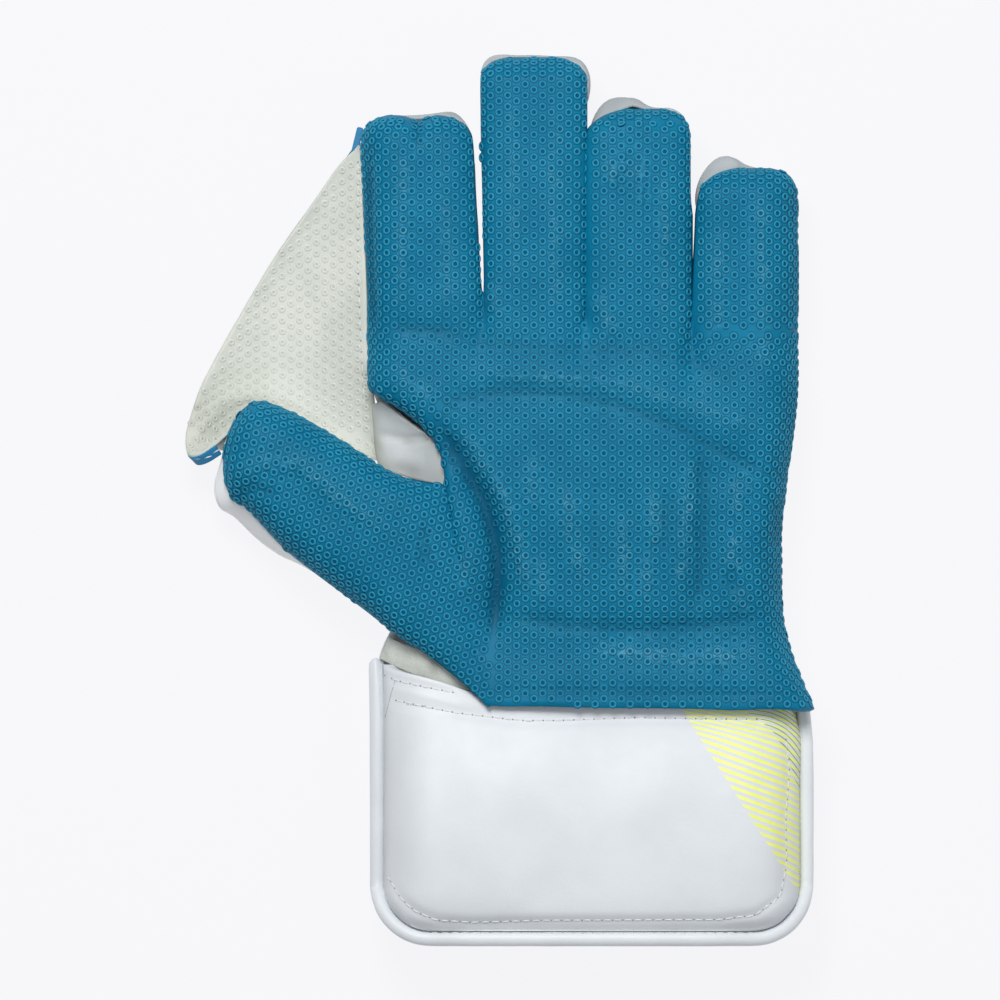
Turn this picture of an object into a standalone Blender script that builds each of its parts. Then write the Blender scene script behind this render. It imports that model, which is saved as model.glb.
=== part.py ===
"""A left-hand wicketkeeping glove lying on its back with the palm up.

Sizes are in millimetres. +X is the little-finger side, +Y is towards the fingertips and +Z is up, out of
the palm. The origin is on the surface that the glove lies on, below the middle of its outline.
"""

import math

import bmesh
import bpy
import numpy as np

MM = 0.001

# Walls and clearances
RUBBER = 2.2
LEATHER = 2.4
CUFF_PAD = 3.0
WEB_SHEET = 1.3
GUSSET = 1.4
SEAM_GAP = 0.45
CAP_GAP = 0.5

# Mesh steps
FINGER_COLUMNS = 8
FINGER_ROWS = 3
TIP_ROWS = 3
PALM_ROWS_LOW = 9
PALM_ROWS_HIGH = 6
THUMB_ROWS = 8
THUMB_COLUMNS = 8
CROTCH_ROWS = 2
UPRIGHT = 0.3
LEVEL = 0.8

# Heights above the surface that the glove lies on, and how far walls reach in while they turn
SEAM = 20.0
SLIT_SEAM = 29.6
TIP_RIM = 24.0
FINGER_CREST = 33.5
SIDE_WRAP = 11.0
SLIT_WRAP = 6.0
BACK_WRAP = 12.0
CROTCH_RISE = 12.0
CROTCH_GAP = 2.6
CROWN = 0.8
BLEND = 26.0
EVEN_RUN = 60.0
BACK_BLEND = 14.0
TIP_END = math.radians(80)
TIP_FALL = 0.8
TIP_GAP = 0.6

# Finger outlines from slit to tip; cap_* is how far the leather tip stands out behind the rubber
FINGER_FIELDS = ("name", "base_left", "base_right", "tip_left", "tip_right", "tip", "round",
                 "corner_left", "corner_right", "cap_left", "cap_right", "cap_end", "cap_lean")
FINGERS = [dict(zip(FINGER_FIELDS, row)) for row in (
    ("index", -46.2, -5.95, -48.3, -8.9, 134.6, 11.0, 0.42, 0.55, 0.0, 0.4, 2.2, -0.9),
    ("middle", -5.25, 29.75, -6.6, 29.8, 154.8, 10.0, 0.45, 0.45, 0.0, 2.2, 1.9, -0.3),
    ("ring", 30.45, 66.85, 30.9, 67.0, 136.8, 11.5, 0.80, 0.42, 1.0, 0.0, 4.0, 1.0),
    ("little", 67.55, 104.6, 69.4, 104.6, 116.0, 11.5, 0.90, 0.45, 2.4, 0.0, 4.0, 1.0),
)]
BASE_Y = (70.7, 70.7, 69.7, 60.9, 60.9)

# The rubber's borders in the palm: y, x, z. The left one is the notch above NOTCH_Y, the thumb joint below it
HEM_Y = (-71.8, -72.6, -73.0, -73.2, -73.4)
NOTCH_Y = 5.25
PALM_LEFT = ((-72.0, -4.9, 40.0), (-45.0, -9.8, 37.5), (-20.0, -14.3, 37.0), (5.25, -18.9, 33.5),
             (18.9, -21.7, 31.0), (24.2, -24.4, 30.0), (30.1, -34.6, 27.5), (34.6, -43.2, 24.5),
             (42.0, -45.2, 21.5), (55.0, -45.9, SEAM), (70.7, -46.2, SEAM))
PALM_RIGHT = ((-73.5, 110.4, 29.0), (-63.0, 106.0, 25.5), (-52.8, 101.9, 22.5), (-42.3, 99.5, 21.0),
              (-21.0, 98.7, SEAM), (0.0, 100.1, SEAM), (17.0, 102.2, SEAM), (34.6, 104.2, SEAM),
              (61.0, 104.6, SEAM))
PALM_CREST = ((-73.5, 41.0), (-63.0, 40.3), (-54.0, 38.2), (-38.0, 38.0), (-8.0, 38.6), (20.0, 37.4),
              (45.0, 35.4), (71.0, FINGER_CREST))

# Thumb rubber: share of the way to the tip, lower border, upper border, crest and wrap
THUMB_FRONT = ((0.00, -4.9, -72.0, 40.0, -18.9, 5.25, 33.5, 38.5, 8.0),
               (0.15, -16.5, -60.0, 36.6, -27.0, 6.2, 31.0, 39.5, 10.0),
               (0.35, -32.2, -50.2, 32.0, -37.5, 9.3, 27.0, 40.0, 13.0),
               (0.55, -48.8, -37.5, 27.0, -50.5, 17.5, 24.0, 39.5, 15.0),
               (0.72, -62.6, -27.4, 25.6, -62.5, 25.1, 22.5, 38.5, 15.0),
               (0.87, -77.4, -15.4, 25.0, -73.5, 31.0, 22.5, 37.3, 14.0),
               (1.00, -88.0, -3.2, 25.0, -82.0, 34.2, 22.5, 36.3, 12.0))
THUMB_TIP_ROUND = 8.5
THUMB_CORNER = 0.6

# Folds pressed into the rubber: path, half width and depth
FOLDS = (
    (((-17.5, 20.0), (-11.2, 9.1), (-5.6, -0.7), (-1.7, -11.5), (1.0, -21.0), (0.4, -30.0), (-1.6, -41.0),
      (-2.5, -50.0)), 6.5, 3.6),
    (((67.0, 15.5), (80.0, 10.5), (98.0, 0.0)), 6.0, 1.5),
    (((74.0, 8.0), (73.0, -20.0), (70.0, -44.0)), 6.0, 1.5),
    (((36.0, -44.0), (62.0, -50.0), (98.0, -42.0)), 7.0, 1.6),
)

# Heights of the leather's underside along y, and its borders: y, x, z
BACK_BASE = ((-63.0, 3.0), (-40.0, 3.4), (0.0, 3.0), (35.0, 1.2), (60.0, 0.0), (75.0, 0.0))
BACK_LEFT = ((-63.5, -42.9, 16.8), (-56.0, -42.4, 16.8), (-48.5, -39.0, 18.5), (-45.0, -37.6, 16.0),
             (-40.0, -36.2, 7.6), (-31.0, -34.3, 4.8), (-20.0, -32.2, 4.6), (-9.0, -30.0, 5.0),
             (-1.5, -28.6, 9.0), (4.0, -28.4, 15.5), (12.0, -31.0, 14.5), (24.0, -37.5, 15.0),
             (34.6, -43.0, 16.0), (42.0, -45.2, SEAM), (55.0, -45.9, SEAM), (70.7, -46.2, SEAM))
CAP_LENGTH = 17.0
CAP_ROWS = 1

THUMB_BACK = ((0.00, -36.8, -43.8, 20.6, -28.3, 3.0, 19.6, 4.8, 12.0),
              (0.20, -41.6, -40.5, 26.2, -38.5, 8.6, 24.2, 4.8, 13.0),
              (0.45, -52.8, -32.9, 25.4, -51.0, 17.8, 23.0, 4.8, 14.0),
              (0.65, -63.2, -26.5, 24.8, -62.5, 25.1, 21.9, 4.8, 14.0),
              (0.84, -77.4, -15.4, 24.5, -73.5, 31.0, 21.9, 4.8, 14.0),
              (1.00, -88.0, -3.2, 24.5, -82.0, 34.2, 21.9, 4.8, 12.0))
THUMB_BULGE = 8.0
BULGE_FROM = 0.5
BULGE_RUN = 0.5
BULGE_WAY = math.radians(218.5)
BULGE_TIP_TURN = math.radians(-40)
BULGE_TIP_REACH = 1.3
THUMB_CAP_SHARE = 0.62

# Web: root at the finger, gusset or thumb, a point half way, and the free edge
WEB = ((-49.2, 120.0, 18.5, -50.0, 122.5, 18.4, -50.6, 125.4, 18.4),
       (-48.8, 105.0, 17.0, -56.0, 107.0, 15.0, -63.5, 105.5, 15.5),
       (-48.0, 85.0, 17.0, -63.5, 87.0, 12.0, -79.5, 82.5, 13.5),
       (-47.2, 62.0, 17.0, -70.5, 63.5, 9.5, -94.0, 58.0, 12.5),
       (-46.4, 40.0, 16.5, -75.5, 45.5, 8.2, -103.6, 40.5, 12.5),
       (-45.4, 24.0, 14.0, -76.0, 39.5, 8.0, -106.6, 33.0, 13.0),
       (-44.8, 13.6, 12.0, -77.0, 36.0, 8.0, -108.2, 28.6, 14.0),
       (-61.4, 21.8, 7.8, -86.5, 34.5, 8.0, -109.6, 23.4, 16.5),
       (-74.8, 28.4, 7.0, -93.5, 32.0, 9.0, -109.7, 18.6, 20.0),
       (-84.6, 31.2, 6.8, -99.2, 26.5, 11.4, -108.6, 16.0, 23.4),
       (-90.0, 27.6, 7.0, -100.6, 20.8, 13.4, -105.2, 16.0, 25.4),
       (-92.0, 22.0, 7.6, -98.8, 18.6, 15.0, -100.8, 19.0, 26.0),
       (-93.6, 18.2, 8.6, -96.8, 18.6, 16.6, -95.6, 23.8, 26.0))
WEB_COLUMNS = 10
WEB_ROWS = 26

# Tape: under the web's free edge, and turned outwards along the lip by the thumb
TAPE_WIDTH = 4.0
TAPE = 0.7
TAPE_CLEARANCE = 0.35
TAPE_INSET = 1.0
LIP_FROM = 0.70
LIP_RUN = 0.10
LIP_TURN = math.radians(60)
TAPE_END = 0.93

# Gusset between index finger and thumb, and wrist gusset: start, half way and end of each section
CROTCH_GUSSET = ((-40.2, 33.6, 21.0, -42.2, 33.3, 18.6, -43.7, 33.0, 16.8),
                 (-28.5, 24.6, 26.0, -36.0, 26.5, 21.0, -43.2, 26.5, 16.0),
                 (-20.2, 16.0, 28.6, -30.5, 17.0, 22.0, -42.4, 18.0, 14.5),
                 (-17.0, 3.6, 29.4, -27.5, 6.0, 21.5, -41.0, 10.6, 14.0))
WRIST_GUSSET = ((-42.0, -55.8, 18.0, -27.0, -62.5, 28.0, -6.0, -68.5, 32.2),
                (-40.6, -52.2, 18.8, -27.5, -57.5, 29.0, -10.5, -61.5, 33.0),
                (-38.6, -48.6, 19.8, -28.0, -52.6, 28.8, -15.0, -56.5, 32.6))

# Cuff: outline of the piping's outer side and of the panels inside it
CUFF_LEFT, CUFF_RIGHT = -45.1, 110.0
CUFF_BOTTOM = -156.1
CUFF_CORNER = 21.0
PIPING_RADIUS = 2.5
PANEL_INSET = 2 * PIPING_RADIUS + 0.35
CUFF_SEAM_Z = 24.0
CUFF_WRAP = 18.0
CUFF_CREST = ((-152.0, 39.6), (-149.6, 42.6), (-146.0, 44.8), (-138.0, 45.6), (-120.0, 45.2),
              (-100.0, 43.2), (-84.0, 39.6), (-74.0, 36.2), (-66.0, 35.0), (-55.0, 34.8))
CUFF_CROWN = 0.6
CUFF_MOUTH_Z = 38.4
CUFF_BACK_MOUTH_Z = 1.0
CUFF_TAPER = 6.0
CUFF_TAPER_Y = -80.0
CUFF_TAPER_RUN = 14.0
CUFF_CORNER_TURNS = 6
CUFF_TOP = ((0.0, -58.2), (0.12, -62.0), (0.30, -69.2), (0.42, -66.0), (1.0, -66.0))
CUFF_BACK_TOP = (-63.9, -66.1)
CUFF_COLUMNS = 18
CUFF_ROWS = 5
CUFF_CORNER_ROWS = 4
PIPING_LEFT_TOP = -57.4
PIPING_RIGHT_TOP = -69.0
PIPING_BACK_START = math.radians(11)
PIPING_SIDES = 8

MATERIALS = {
    "teal_rubber": ((0.016, 0.19, 0.33), 0.5),
    "white_leather": ((0.78, 0.79, 0.80), 0.45),
    "cream_web": ((0.66, 0.69, 0.63), 0.7),
    "blue_tape": ((0.01, 0.20, 0.42), 0.5),
    "suede": ((0.48, 0.50, 0.44), 0.85),
}


def mix(a, b, share):
    return a + (b - a) * share


def ease(share):
    share = min(max(share, 0.0), 1.0)
    return share * share * (3 - 2 * share)


def through(table, at):
    """Values of the smooth curve through the rows of a table, whose first column is the station."""
    rows = np.asarray(table, float)
    stations, values = rows[:, 0], rows[:, 1:]
    slopes = np.gradient(values, stations, axis=0)
    at = min(max(at, stations[0]), stations[-1])
    k = min(int(np.searchsorted(stations, at, side="right")) - 1, len(stations) - 2)
    step = stations[k + 1] - stations[k]
    t = (at - stations[k]) / step
    return ((2 * t**3 - 3 * t**2 + 1) * values[k] + (t**3 - 2 * t**2 + t) * step * slopes[k]
            + (3 * t**2 - 2 * t**3) * values[k + 1] + (t**3 - t**2) * step * slopes[k + 1])


def arc_length(wrap, rise):
    """Length of a quarter ellipse."""
    return math.pi / 2 * math.sqrt((wrap**2 + rise**2) / 2)


def arch(left, right, crest, crown, share):
    """Distance across and height at a share of the way over a section: two quarter ellipses and a crest.

    Left and right each give x, border height and how far the quarter ellipse reaches in. A crest below the
    borders gives the underside of a section.
    """
    (x_left, z_left, wrap_left), (x_right, z_right, wrap_right) = left, right
    most = 0.47 * (x_right - x_left)
    wrap_left, wrap_right = min(wrap_left, most), min(wrap_right, most)
    first = arc_length(wrap_left, crest - z_left)
    last = arc_length(wrap_right, crest - z_right)
    flat = x_right - x_left - wrap_left - wrap_right
    run = share * (first + flat + last)
    if run < first:
        turn = run / first * math.pi / 2
        x, z = x_left + wrap_left * (1 - math.cos(turn)), mix(z_left, crest, math.sin(turn))
    elif run > first + flat:
        turn = (first + flat + last - run) / last * math.pi / 2
        x, z = x_right - wrap_right * (1 - math.cos(turn)), mix(z_right, crest, math.sin(turn))
    else:
        x, z = x_left + wrap_left + run - first, crest
    middle, half = (x_left + x_right) / 2, (x_right - x_left) / 2
    return x, z + crown * (1 - ((x - middle) / half) ** 2)


def crest_share(x, left, right, crest):
    """The share of the way over a section at which its flat part passes x."""
    first = arc_length(left[2], crest - left[1])
    last = arc_length(right[2], crest - right[1])
    flat = right[0] - left[0] - left[2] - right[2]
    return (first + x - left[0] - left[2]) / (first + flat + last)


def path_distance(x, y, path):
    """Distance from a point to a path in plan, and how much of a fold is left there."""
    best, fade = 1e9, 0.0
    spans = len(path) - 1
    for k in range(spans):
        (x0, y0), (x1, y1) = path[k], path[k + 1]
        dx, dy = x1 - x0, y1 - y0
        share = min(max(((x - x0) * dx + (y - y0) * dy) / (dx * dx + dy * dy), 0.0), 1.0)
        gap = math.hypot(x - x0 - share * dx, y - y0 - share * dy)
        if gap < best:
            along = (k + share) / spans
            best, fade = gap, ease(min(along, 1 - along) * 4 + 0.25)
    return best, fade


def relief(x, y):
    """Depth of the folds at a point of the rubber."""
    total = 0.0
    for path, half_width, depth in FOLDS:
        gap, fade = path_distance(x, y, path)
        total -= depth * fade * math.exp(-((gap / half_width) ** 2))
    return total


def finger_borders(k, y, back):
    """Left and right border of finger k at y: x, height and wrap."""
    finger = FINGERS[k]
    straight = finger["tip"] - finger["round"]
    share = (y - BASE_Y[k]) / (straight - BASE_Y[k])
    borders = []
    for side, name, slit in ((0, "left", k > 0), (1, "right", k < 3)):
        x = mix(finger["base_" + name], finger["tip_" + name], share)
        z = SLIT_SEAM if slit else SEAM
        if back:
            z -= SEAM_GAP
            if slit:
                z -= CROTCH_GAP * (1 - ease((y - BASE_Y[k + side]) / CROTCH_RISE))
        wrap = BACK_WRAP if back else SLIT_WRAP if slit else SIDE_WRAP
        borders.append((x, z, wrap))
    return borders


def finger_point(k, share, y, back):
    """A point of finger k's section at y, below its rounded tip, with the sides of a slit joined at its foot."""
    left, right = finger_borders(k, y, back)
    crest = through(BACK_BASE, y)[0] if back else FINGER_CREST
    x, z = arch(left, right, crest, 0.0 if back else CROWN, share)
    for edge in (k, k + 1):
        if 0 < edge < 4 and abs(share - (edge - k)) < 1e-6 and abs(y - BASE_Y[edge]) < 1e-6:
            x = slit_x(edge)
    return x, z


def slit_x(edge):
    return (FINGERS[edge - 1]["base_right"] + FINGERS[edge]["base_left"]) / 2


def tip_fall(turn):
    """How much of a tip's height over its rim is left at a turn."""
    return max(math.cos(turn / TIP_END * math.pi / 2), 0.0) ** TIP_FALL


def tip_point(k, share, turn, back):
    """A point of finger k's rounded tip; turn runs from 0 where it starts to TIP_END at its end."""
    finger = FINGERS[k]
    start = finger["tip"] - finger["round"]
    (left, z_left, _), (right, z_right, _) = finger_borders(k, start, back)
    x, z = finger_point(k, share, start, back)
    middle = (left + right) / 2
    corner = finger["corner_left"] if x < middle else finger["corner_right"]
    rim = TIP_RIM - SEAM_GAP - TIP_GAP if back else TIP_RIM
    edge = mix(mix(z_left, z_right, share), rim, math.sin(turn) ** 2)
    z_new = edge + (z - mix(z_left, z_right, share)) * tip_fall(turn)
    x_new = middle + (x - middle) * math.cos(turn) ** corner
    y_new = start + finger["round"] * math.sin(turn)
    if back:
        side = (x - middle) / (right - middle)
        return cap_swell(finger, x_new, y_new, z_new, edge, side, 1.0, math.sin(turn))
    return x_new, y_new, z_new


def cap_swell(finger, x, y, z, edge, side, spread, reach):
    """Pushes the leather of a finger's tip outwards, most at half its depth."""
    depth = min(max((edge - z) / edge, 0.0), 1.0)
    swell = math.sin(math.pi * depth) ** 0.7
    x += spread * swell * (max(side, 0) * finger["cap_right"] + min(side, 0) * finger["cap_left"])
    lean = 1 - finger["cap_lean"] * side
    return x, y + swell * reach * finger["cap_end"] * lean, z


def palm_point(column, along, back=False):
    """A point of the palm or of the back of the hand; column runs 0 to 4, along 0 to 1 up to the fingers."""
    columns = range(5)
    top = np.interp(column, columns, BASE_Y)
    y = mix(np.interp(column, columns, HEM_Y), top, along)
    x_left, z_left = through(BACK_LEFT if back else PALM_LEFT, mix(HEM_Y[0], BASE_Y[0], along))
    x_right, z_right = through(PALM_RIGHT, y)
    if back:
        left = x_left, z_left - SEAM_GAP, BACK_WRAP
        right = min(x_right, FINGERS[3]["base_right"]), z_right - SEAM_GAP, BACK_WRAP
        crest, crown, reach = through(BACK_BASE, y)[0], 0.0, BACK_BLEND
    else:
        left, right = (x_left, z_left, SIDE_WRAP), (x_right, z_right, SIDE_WRAP)
        crest, crown, reach = through(PALM_CREST, y)[0], CROWN, BLEND
    even = ease((top - y) / EVEN_RUN)
    shares = [mix(crest_share(slit_x(edge), left, right, crest), edge / 4, even) for edge in (1, 2, 3)]
    shares = [0.0, *shares, 1.0]
    wide = arch(left, right, crest, crown, np.interp(column, columns, shares))
    k = min(int(column), 3)
    narrow = finger_point(k, column - k, top, back)
    blend = ease((top - y) / reach)
    x, z = mix(narrow[0], wide[0], blend), mix(narrow[1], wide[1], blend)
    return x, y, z if back else z + relief(x, y)


def thumb_section(table, t, share):
    """A point of the thumb's section, and its lower and upper border, crest and wrap."""
    low_x, low_y, low_z, up_x, up_y, up_z, crest, wrap = through(table, t)
    length = math.hypot(up_x - low_x, up_y - low_y)
    run, z = arch((0.0, low_z, wrap), (length, up_z, wrap), crest, 0.0, share)
    return (mix(low_x, up_x, run / length), mix(low_y, up_y, run / length), z), (low_x, low_y, low_z, up_x, up_y, up_z)


def thumb_tip(table, share, turn, bulge=0.0):
    point, (low_x, low_y, low_z, up_x, up_y, up_z) = thumb_section(table, 1.0, share)
    length = math.hypot(up_x - low_x, up_y - low_y)
    out_x, out_y = -(up_y - low_y) / length, (up_x - low_x) / length
    mid_x, mid_y = (low_x + up_x) / 2, (low_y + up_y) / 2
    narrow = math.cos(turn) ** THUMB_CORNER
    edge = mix(low_z, up_z, share)
    reach = THUMB_TIP_ROUND * math.sin(turn)
    z = edge + (point[2] - edge) * tip_fall(turn)
    x = mid_x + (point[0] - mid_x) * narrow + out_x * reach
    y = mid_y + (point[1] - mid_y) * narrow + out_y * reach
    return lower_bulge(x, y, z, edge, share, bulge, math.sin(turn))


def lower_bulge(x, y, z, edge, share, bulge, tip=0.0):
    """Pushes the leather of the thumb outwards on its lower side and round its tip, most at half its depth."""
    if not bulge:
        return x, y, z
    depth = min(max((edge - z) / (edge - 5.0), 0.0), 1.0)
    swell = bulge * math.sin(math.pi * depth) ** 0.8 * ease(1 - mix(2.0, BULGE_TIP_REACH, tip) * share)
    way = BULGE_WAY + BULGE_TIP_TURN * tip * min(share / 0.4, 1.0)
    return x + math.cos(way) * swell, y + math.sin(way) * swell, z


def thumb_front_point(share, t):
    """A point of the thumb's rubber, which grows out of the palm's left border."""
    point, _ = thumb_section(THUMB_FRONT, t, share)
    notch = (NOTCH_Y - HEM_Y[0]) / (BASE_Y[0] - HEM_Y[0])
    root = palm_point(0.0, notch * share)
    blend = ease(t / 0.3)
    x, y, z = (mix(a, b, blend) for a, b in zip(root, point))
    return x, y, z + blend * relief(x, y)


def section_point(table, share, s):
    """A point of a patch whose rows each give the start, the half way point and the end of a section."""
    rows = [(k / (len(table) - 1), *row) for k, row in enumerate(table)]
    values = through(rows, s)
    start, half, end = values[0:3], values[3:6], values[6:9]
    return (start * (2 * share - 1) * (share - 1) + half * 4 * share * (1 - share)
            + end * share * (2 * share - 1))


def web_point(share, s, lift=0.0):
    """A point of the web, or one lifted off it along its normal."""
    point = section_point(WEB, share, s)
    if not lift:
        return tuple(point)
    near = 0.01
    across = section_point(WEB, min(share + near, 1), s) - section_point(WEB, max(share - near, 0), s)
    along = section_point(WEB, share, min(s + near, 1)) - section_point(WEB, share, max(s - near, 0))
    normal = np.cross(across, along)
    return tuple(point + lift * normal / np.linalg.norm(normal))


def cuff_section(along, share, back):
    """A point of a cuff panel: along runs from -1 at the mouth to 0 at the end of its corners and 1 at the hand."""
    left, right = CUFF_LEFT + PANEL_INSET, CUFF_RIGHT - PANEL_INSET
    radius = CUFF_CORNER - PANEL_INSET
    corner_y = CUFF_BOTTOM + CUFF_CORNER
    turn = max(-along, 0.0) * math.pi / 2
    inset = radius * (1 - math.cos(turn))
    if along < 0:
        y = corner_y - radius * math.sin(turn)
    else:
        top = mix(*CUFF_BACK_TOP, share) if back else through(CUFF_TOP, share)[0]
        y = mix(corner_y, top, along)
    right -= CUFF_TAPER * ease((y - CUFF_TAPER_Y) / CUFF_TAPER_RUN)
    if back:
        border = mix(CUFF_SEAM_Z - SEAM_GAP, CUFF_BACK_MOUTH_Z, math.sin(turn))
        x, z = arch((left + inset, border, CUFF_WRAP), (right - inset, border, CUFF_WRAP), 0.0, 0.0, share)
    else:
        crest = through(CUFF_CREST, y)[0]
        border = mix(CUFF_SEAM_Z, CUFF_MOUTH_Z, math.sin(turn))
        sides = (left + inset, border, CUFF_WRAP), (right - inset, border, CUFF_WRAP)
        x, z = arch(*sides, crest, CUFF_CROWN, share)
    return x, y, z


def add_grid(bm, rows, known, sides):
    """Adds quads over rows of points. Points that grids share are joined, and the ends of the rows are noted."""
    verts = []
    for row in rows:
        line = []
        for point in row:
            key = tuple(round(float(value), 3) for value in point)
            if key not in known:
                known[key] = bm.verts.new([value * MM for value in point])
            line.append(known[key])
        sides.update((line[0], line[-1]))
        verts.append(line)
    for low, high in zip(verts, verts[1:]):
        for a, b, c, d in zip(low, low[1:], high[1:], high):
            bm.faces.new((a, b, c, d))


def add_object(name, bm, material):
    mesh = bpy.data.meshes.new(name)
    bm.to_mesh(mesh)
    bm.free()
    mesh.materials.append(material)
    for polygon in mesh.polygons:
        polygon.use_smooth = True
    obj = bpy.data.objects.new(name, mesh)
    bpy.context.scene.collection.objects.link(obj)
    return obj


def sheet(name, grids, thickness, material, wall_above=False, level_sides=True):
    """A wall of one thickness below or above the surface given by grids of points.

    Along seams the wall ends in a level rim, so that the two pieces there meet rim to rim.
    """
    bm = bmesh.new()
    known, sides = {}, set()
    for rows in grids:
        add_grid(bm, rows, known, sides)
    if wall_above:
        bmesh.ops.reverse_faces(bm, faces=bm.faces)
    bm.normal_update()
    outer = list(bm.verts)
    faces = [tuple(face.verts) for face in bm.faces]
    rims = [loop for edge in bm.edges if edge.is_boundary for loop in edge.link_loops]
    rims = [(loop.vert, loop.link_loop_next.vert) for loop in rims]
    inner = {}
    for vert in outer:
        normal = vert.normal.copy()
        if vert.is_boundary and level_sides:
            normal.z *= 0.0 if vert in sides else ease((abs(normal.z) - UPRIGHT) / (LEVEL - UPRIGHT))
            normal.normalize()
        inner[vert] = bm.verts.new(vert.co - thickness * MM * normal)
    for face in faces:
        bm.faces.new([inner[vert] for vert in reversed(face)])
    for here, there in rims:
        bm.faces.new((there, here, inner[here], inner[there]))
    return add_object(name, bm, material)


def tube(name, path, radius, sides, material):
    """A round cord along a path, closed by a flat face at each end."""
    bm = bmesh.new()
    rings = []
    points = np.asarray(path, float)
    ahead = np.gradient(points, axis=0)
    for point, way in zip(points, ahead):
        way = way / np.linalg.norm(way)
        side = np.cross(way, (0.0, 0.0, 1.0))
        side /= np.linalg.norm(side)
        up = np.cross(side, way)
        ring = []
        for n in range(sides):
            angle = 2 * math.pi * n / sides
            spot = point + radius * (math.cos(angle) * side + math.sin(angle) * up)
            ring.append(bm.verts.new(spot * MM))
        rings.append(ring)
    for low, high in zip(rings, rings[1:]):
        for n in range(sides):
            m = (n + 1) % sides
            bm.faces.new((low[m], low[n], high[n], high[m]))
    bm.faces.new(rings[0])
    bm.faces.new(list(reversed(rings[-1])))
    return add_object(name, bm, material)


def steps(first, last, count):
    return [mix(first, last, n / count) for n in range(count + 1)]


def finger_rows(k, high, count, back):
    """Rows of finger k from its slits: past the crotch first, then up to a height."""
    rows = []
    for part, (low, top, number) in enumerate(((0.0, CROTCH_RISE, CROTCH_ROWS), (CROTCH_RISE, None, count))):
        for along in steps(0.0, 1.0, number)[part:]:
            row = []
            for share in steps(0.0, 1.0, FINGER_COLUMNS):
                base = mix(BASE_Y[k], BASE_Y[k + 1], share)
                y = mix(base + low, high if top is None else base + top, along)
                x, z = finger_point(k, share, y, back)
                row.append((x, y, z))
            rows.append(row)
    return rows


def tip_rows(k, back):
    shares = steps(0.0, 1.0, FINGER_COLUMNS)
    return [[tip_point(k, share, turn, back) for share in shares] for turn in steps(0.0, TIP_END, TIP_ROWS)[1:]]


def palm_rows():
    """Shares of the way up the palm, which the rubber and the leather have in common."""
    notch = (NOTCH_Y - HEM_Y[0]) / (BASE_Y[0] - HEM_Y[0])
    return steps(0.0, notch, PALM_ROWS_LOW) + steps(notch, 1.0, PALM_ROWS_HIGH)[1:]


def palm_rubber(materials):
    """Rubber face of the palm, the four fingers and the thumb, in one piece."""
    columns = steps(0.0, 4.0, 4 * FINGER_COLUMNS)
    grids = [[[palm_point(column, along) for column in columns] for along in palm_rows()]]
    for k, finger in enumerate(FINGERS):
        straight = finger["tip"] - finger["round"]
        grids.append(finger_rows(k, straight, FINGER_ROWS, False) + tip_rows(k, False))
    shares = steps(0.0, 1.0, PALM_ROWS_LOW)
    thumb = [[thumb_front_point(share, t) for share in shares] for t in steps(0.0, 1.0, THUMB_ROWS)]
    thumb += [[thumb_tip(THUMB_FRONT, share, turn) for share in shares]
              for turn in steps(0.0, TIP_END, TIP_ROWS)[1:]]
    grids.append(thumb)
    return sheet("palm_rubber", grids, RUBBER, materials["teal_rubber"])


def hand_back(materials):
    """Leather back of the hand and of the fingers up to their caps."""
    columns = steps(0.0, 4.0, 4 * FINGER_COLUMNS)
    grids = [[[palm_point(column, along, True) for column in columns] for along in palm_rows()[1:]]]
    for k, finger in enumerate(FINGERS):
        grids.append(finger_rows(k, finger["tip"] - CAP_LENGTH - CAP_GAP, FINGER_ROWS - 1, True))
    return sheet("hand_back", grids, LEATHER, materials["white_leather"], wall_above=True)


def finger_cap(k, materials):
    """Leather cap round the back of a fingertip, standing out a little behind the rubber."""
    finger = FINGERS[k]
    straight = finger["tip"] - finger["round"]
    start = finger["tip"] - CAP_LENGTH
    (left, z_left, _), (right, z_right, _) = finger_borders(k, straight, True)
    rows = []
    for along in steps(0.0, 1.0, CAP_ROWS):
        y = mix(start, straight, along)
        row = []
        for share in steps(0.0, 1.0, FINGER_COLUMNS):
            x, z = finger_point(k, share, y, True)
            side = 2 * (x - left) / (right - left) - 1
            row.append(cap_swell(finger, x, y, z, mix(z_left, z_right, share), side, ease(along), 0.0))
        rows.append(row)
    grid = rows + tip_rows(k, True)
    return sheet(finger["name"] + "_cap", [grid], LEATHER, materials["white_leather"], wall_above=True)


def thumb_back_rows(first, last, count):
    rows = []
    for t in steps(first, last, count):
        row = []
        for share in steps(0.0, 1.0, THUMB_COLUMNS):
            point, borders = thumb_section(THUMB_BACK, t, share)
            edge = mix(borders[2], borders[5], share)
            row.append(lower_bulge(*point, edge, share, THUMB_BULGE * ease((t - BULGE_FROM) / BULGE_RUN)))
        rows.append(row)
    return rows


def thumb_back(materials):
    """Leather back of the thumb below its cap."""
    rows = thumb_back_rows(0.0, THUMB_CAP_SHARE, THUMB_ROWS // 2)
    return sheet("thumb_back", [rows], LEATHER, materials["white_leather"], wall_above=True)


def thumb_cap(materials):
    """Leather cap round the back of the thumb's tip."""
    rows = thumb_back_rows(THUMB_CAP_SHARE + 0.012, 1.0, THUMB_ROWS // 2)
    for turn in steps(0.0, TIP_END, TIP_ROWS)[1:]:
        rows.append([thumb_tip(THUMB_BACK, share, turn, THUMB_BULGE) for share in steps(0.0, 1.0, THUMB_COLUMNS)])
    return sheet("thumb_cap", [rows], LEATHER, materials["white_leather"], wall_above=True)


def web(materials):
    """Catching web between the index finger and the thumb."""
    rows = [[web_point(share, s) for share in steps(0.0, 1.0, WEB_COLUMNS)] for s in steps(0.0, 1.0, WEB_ROWS)]
    return sheet("web", [rows], WEB_SHEET, materials["cream_web"], level_sides=False)


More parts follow.
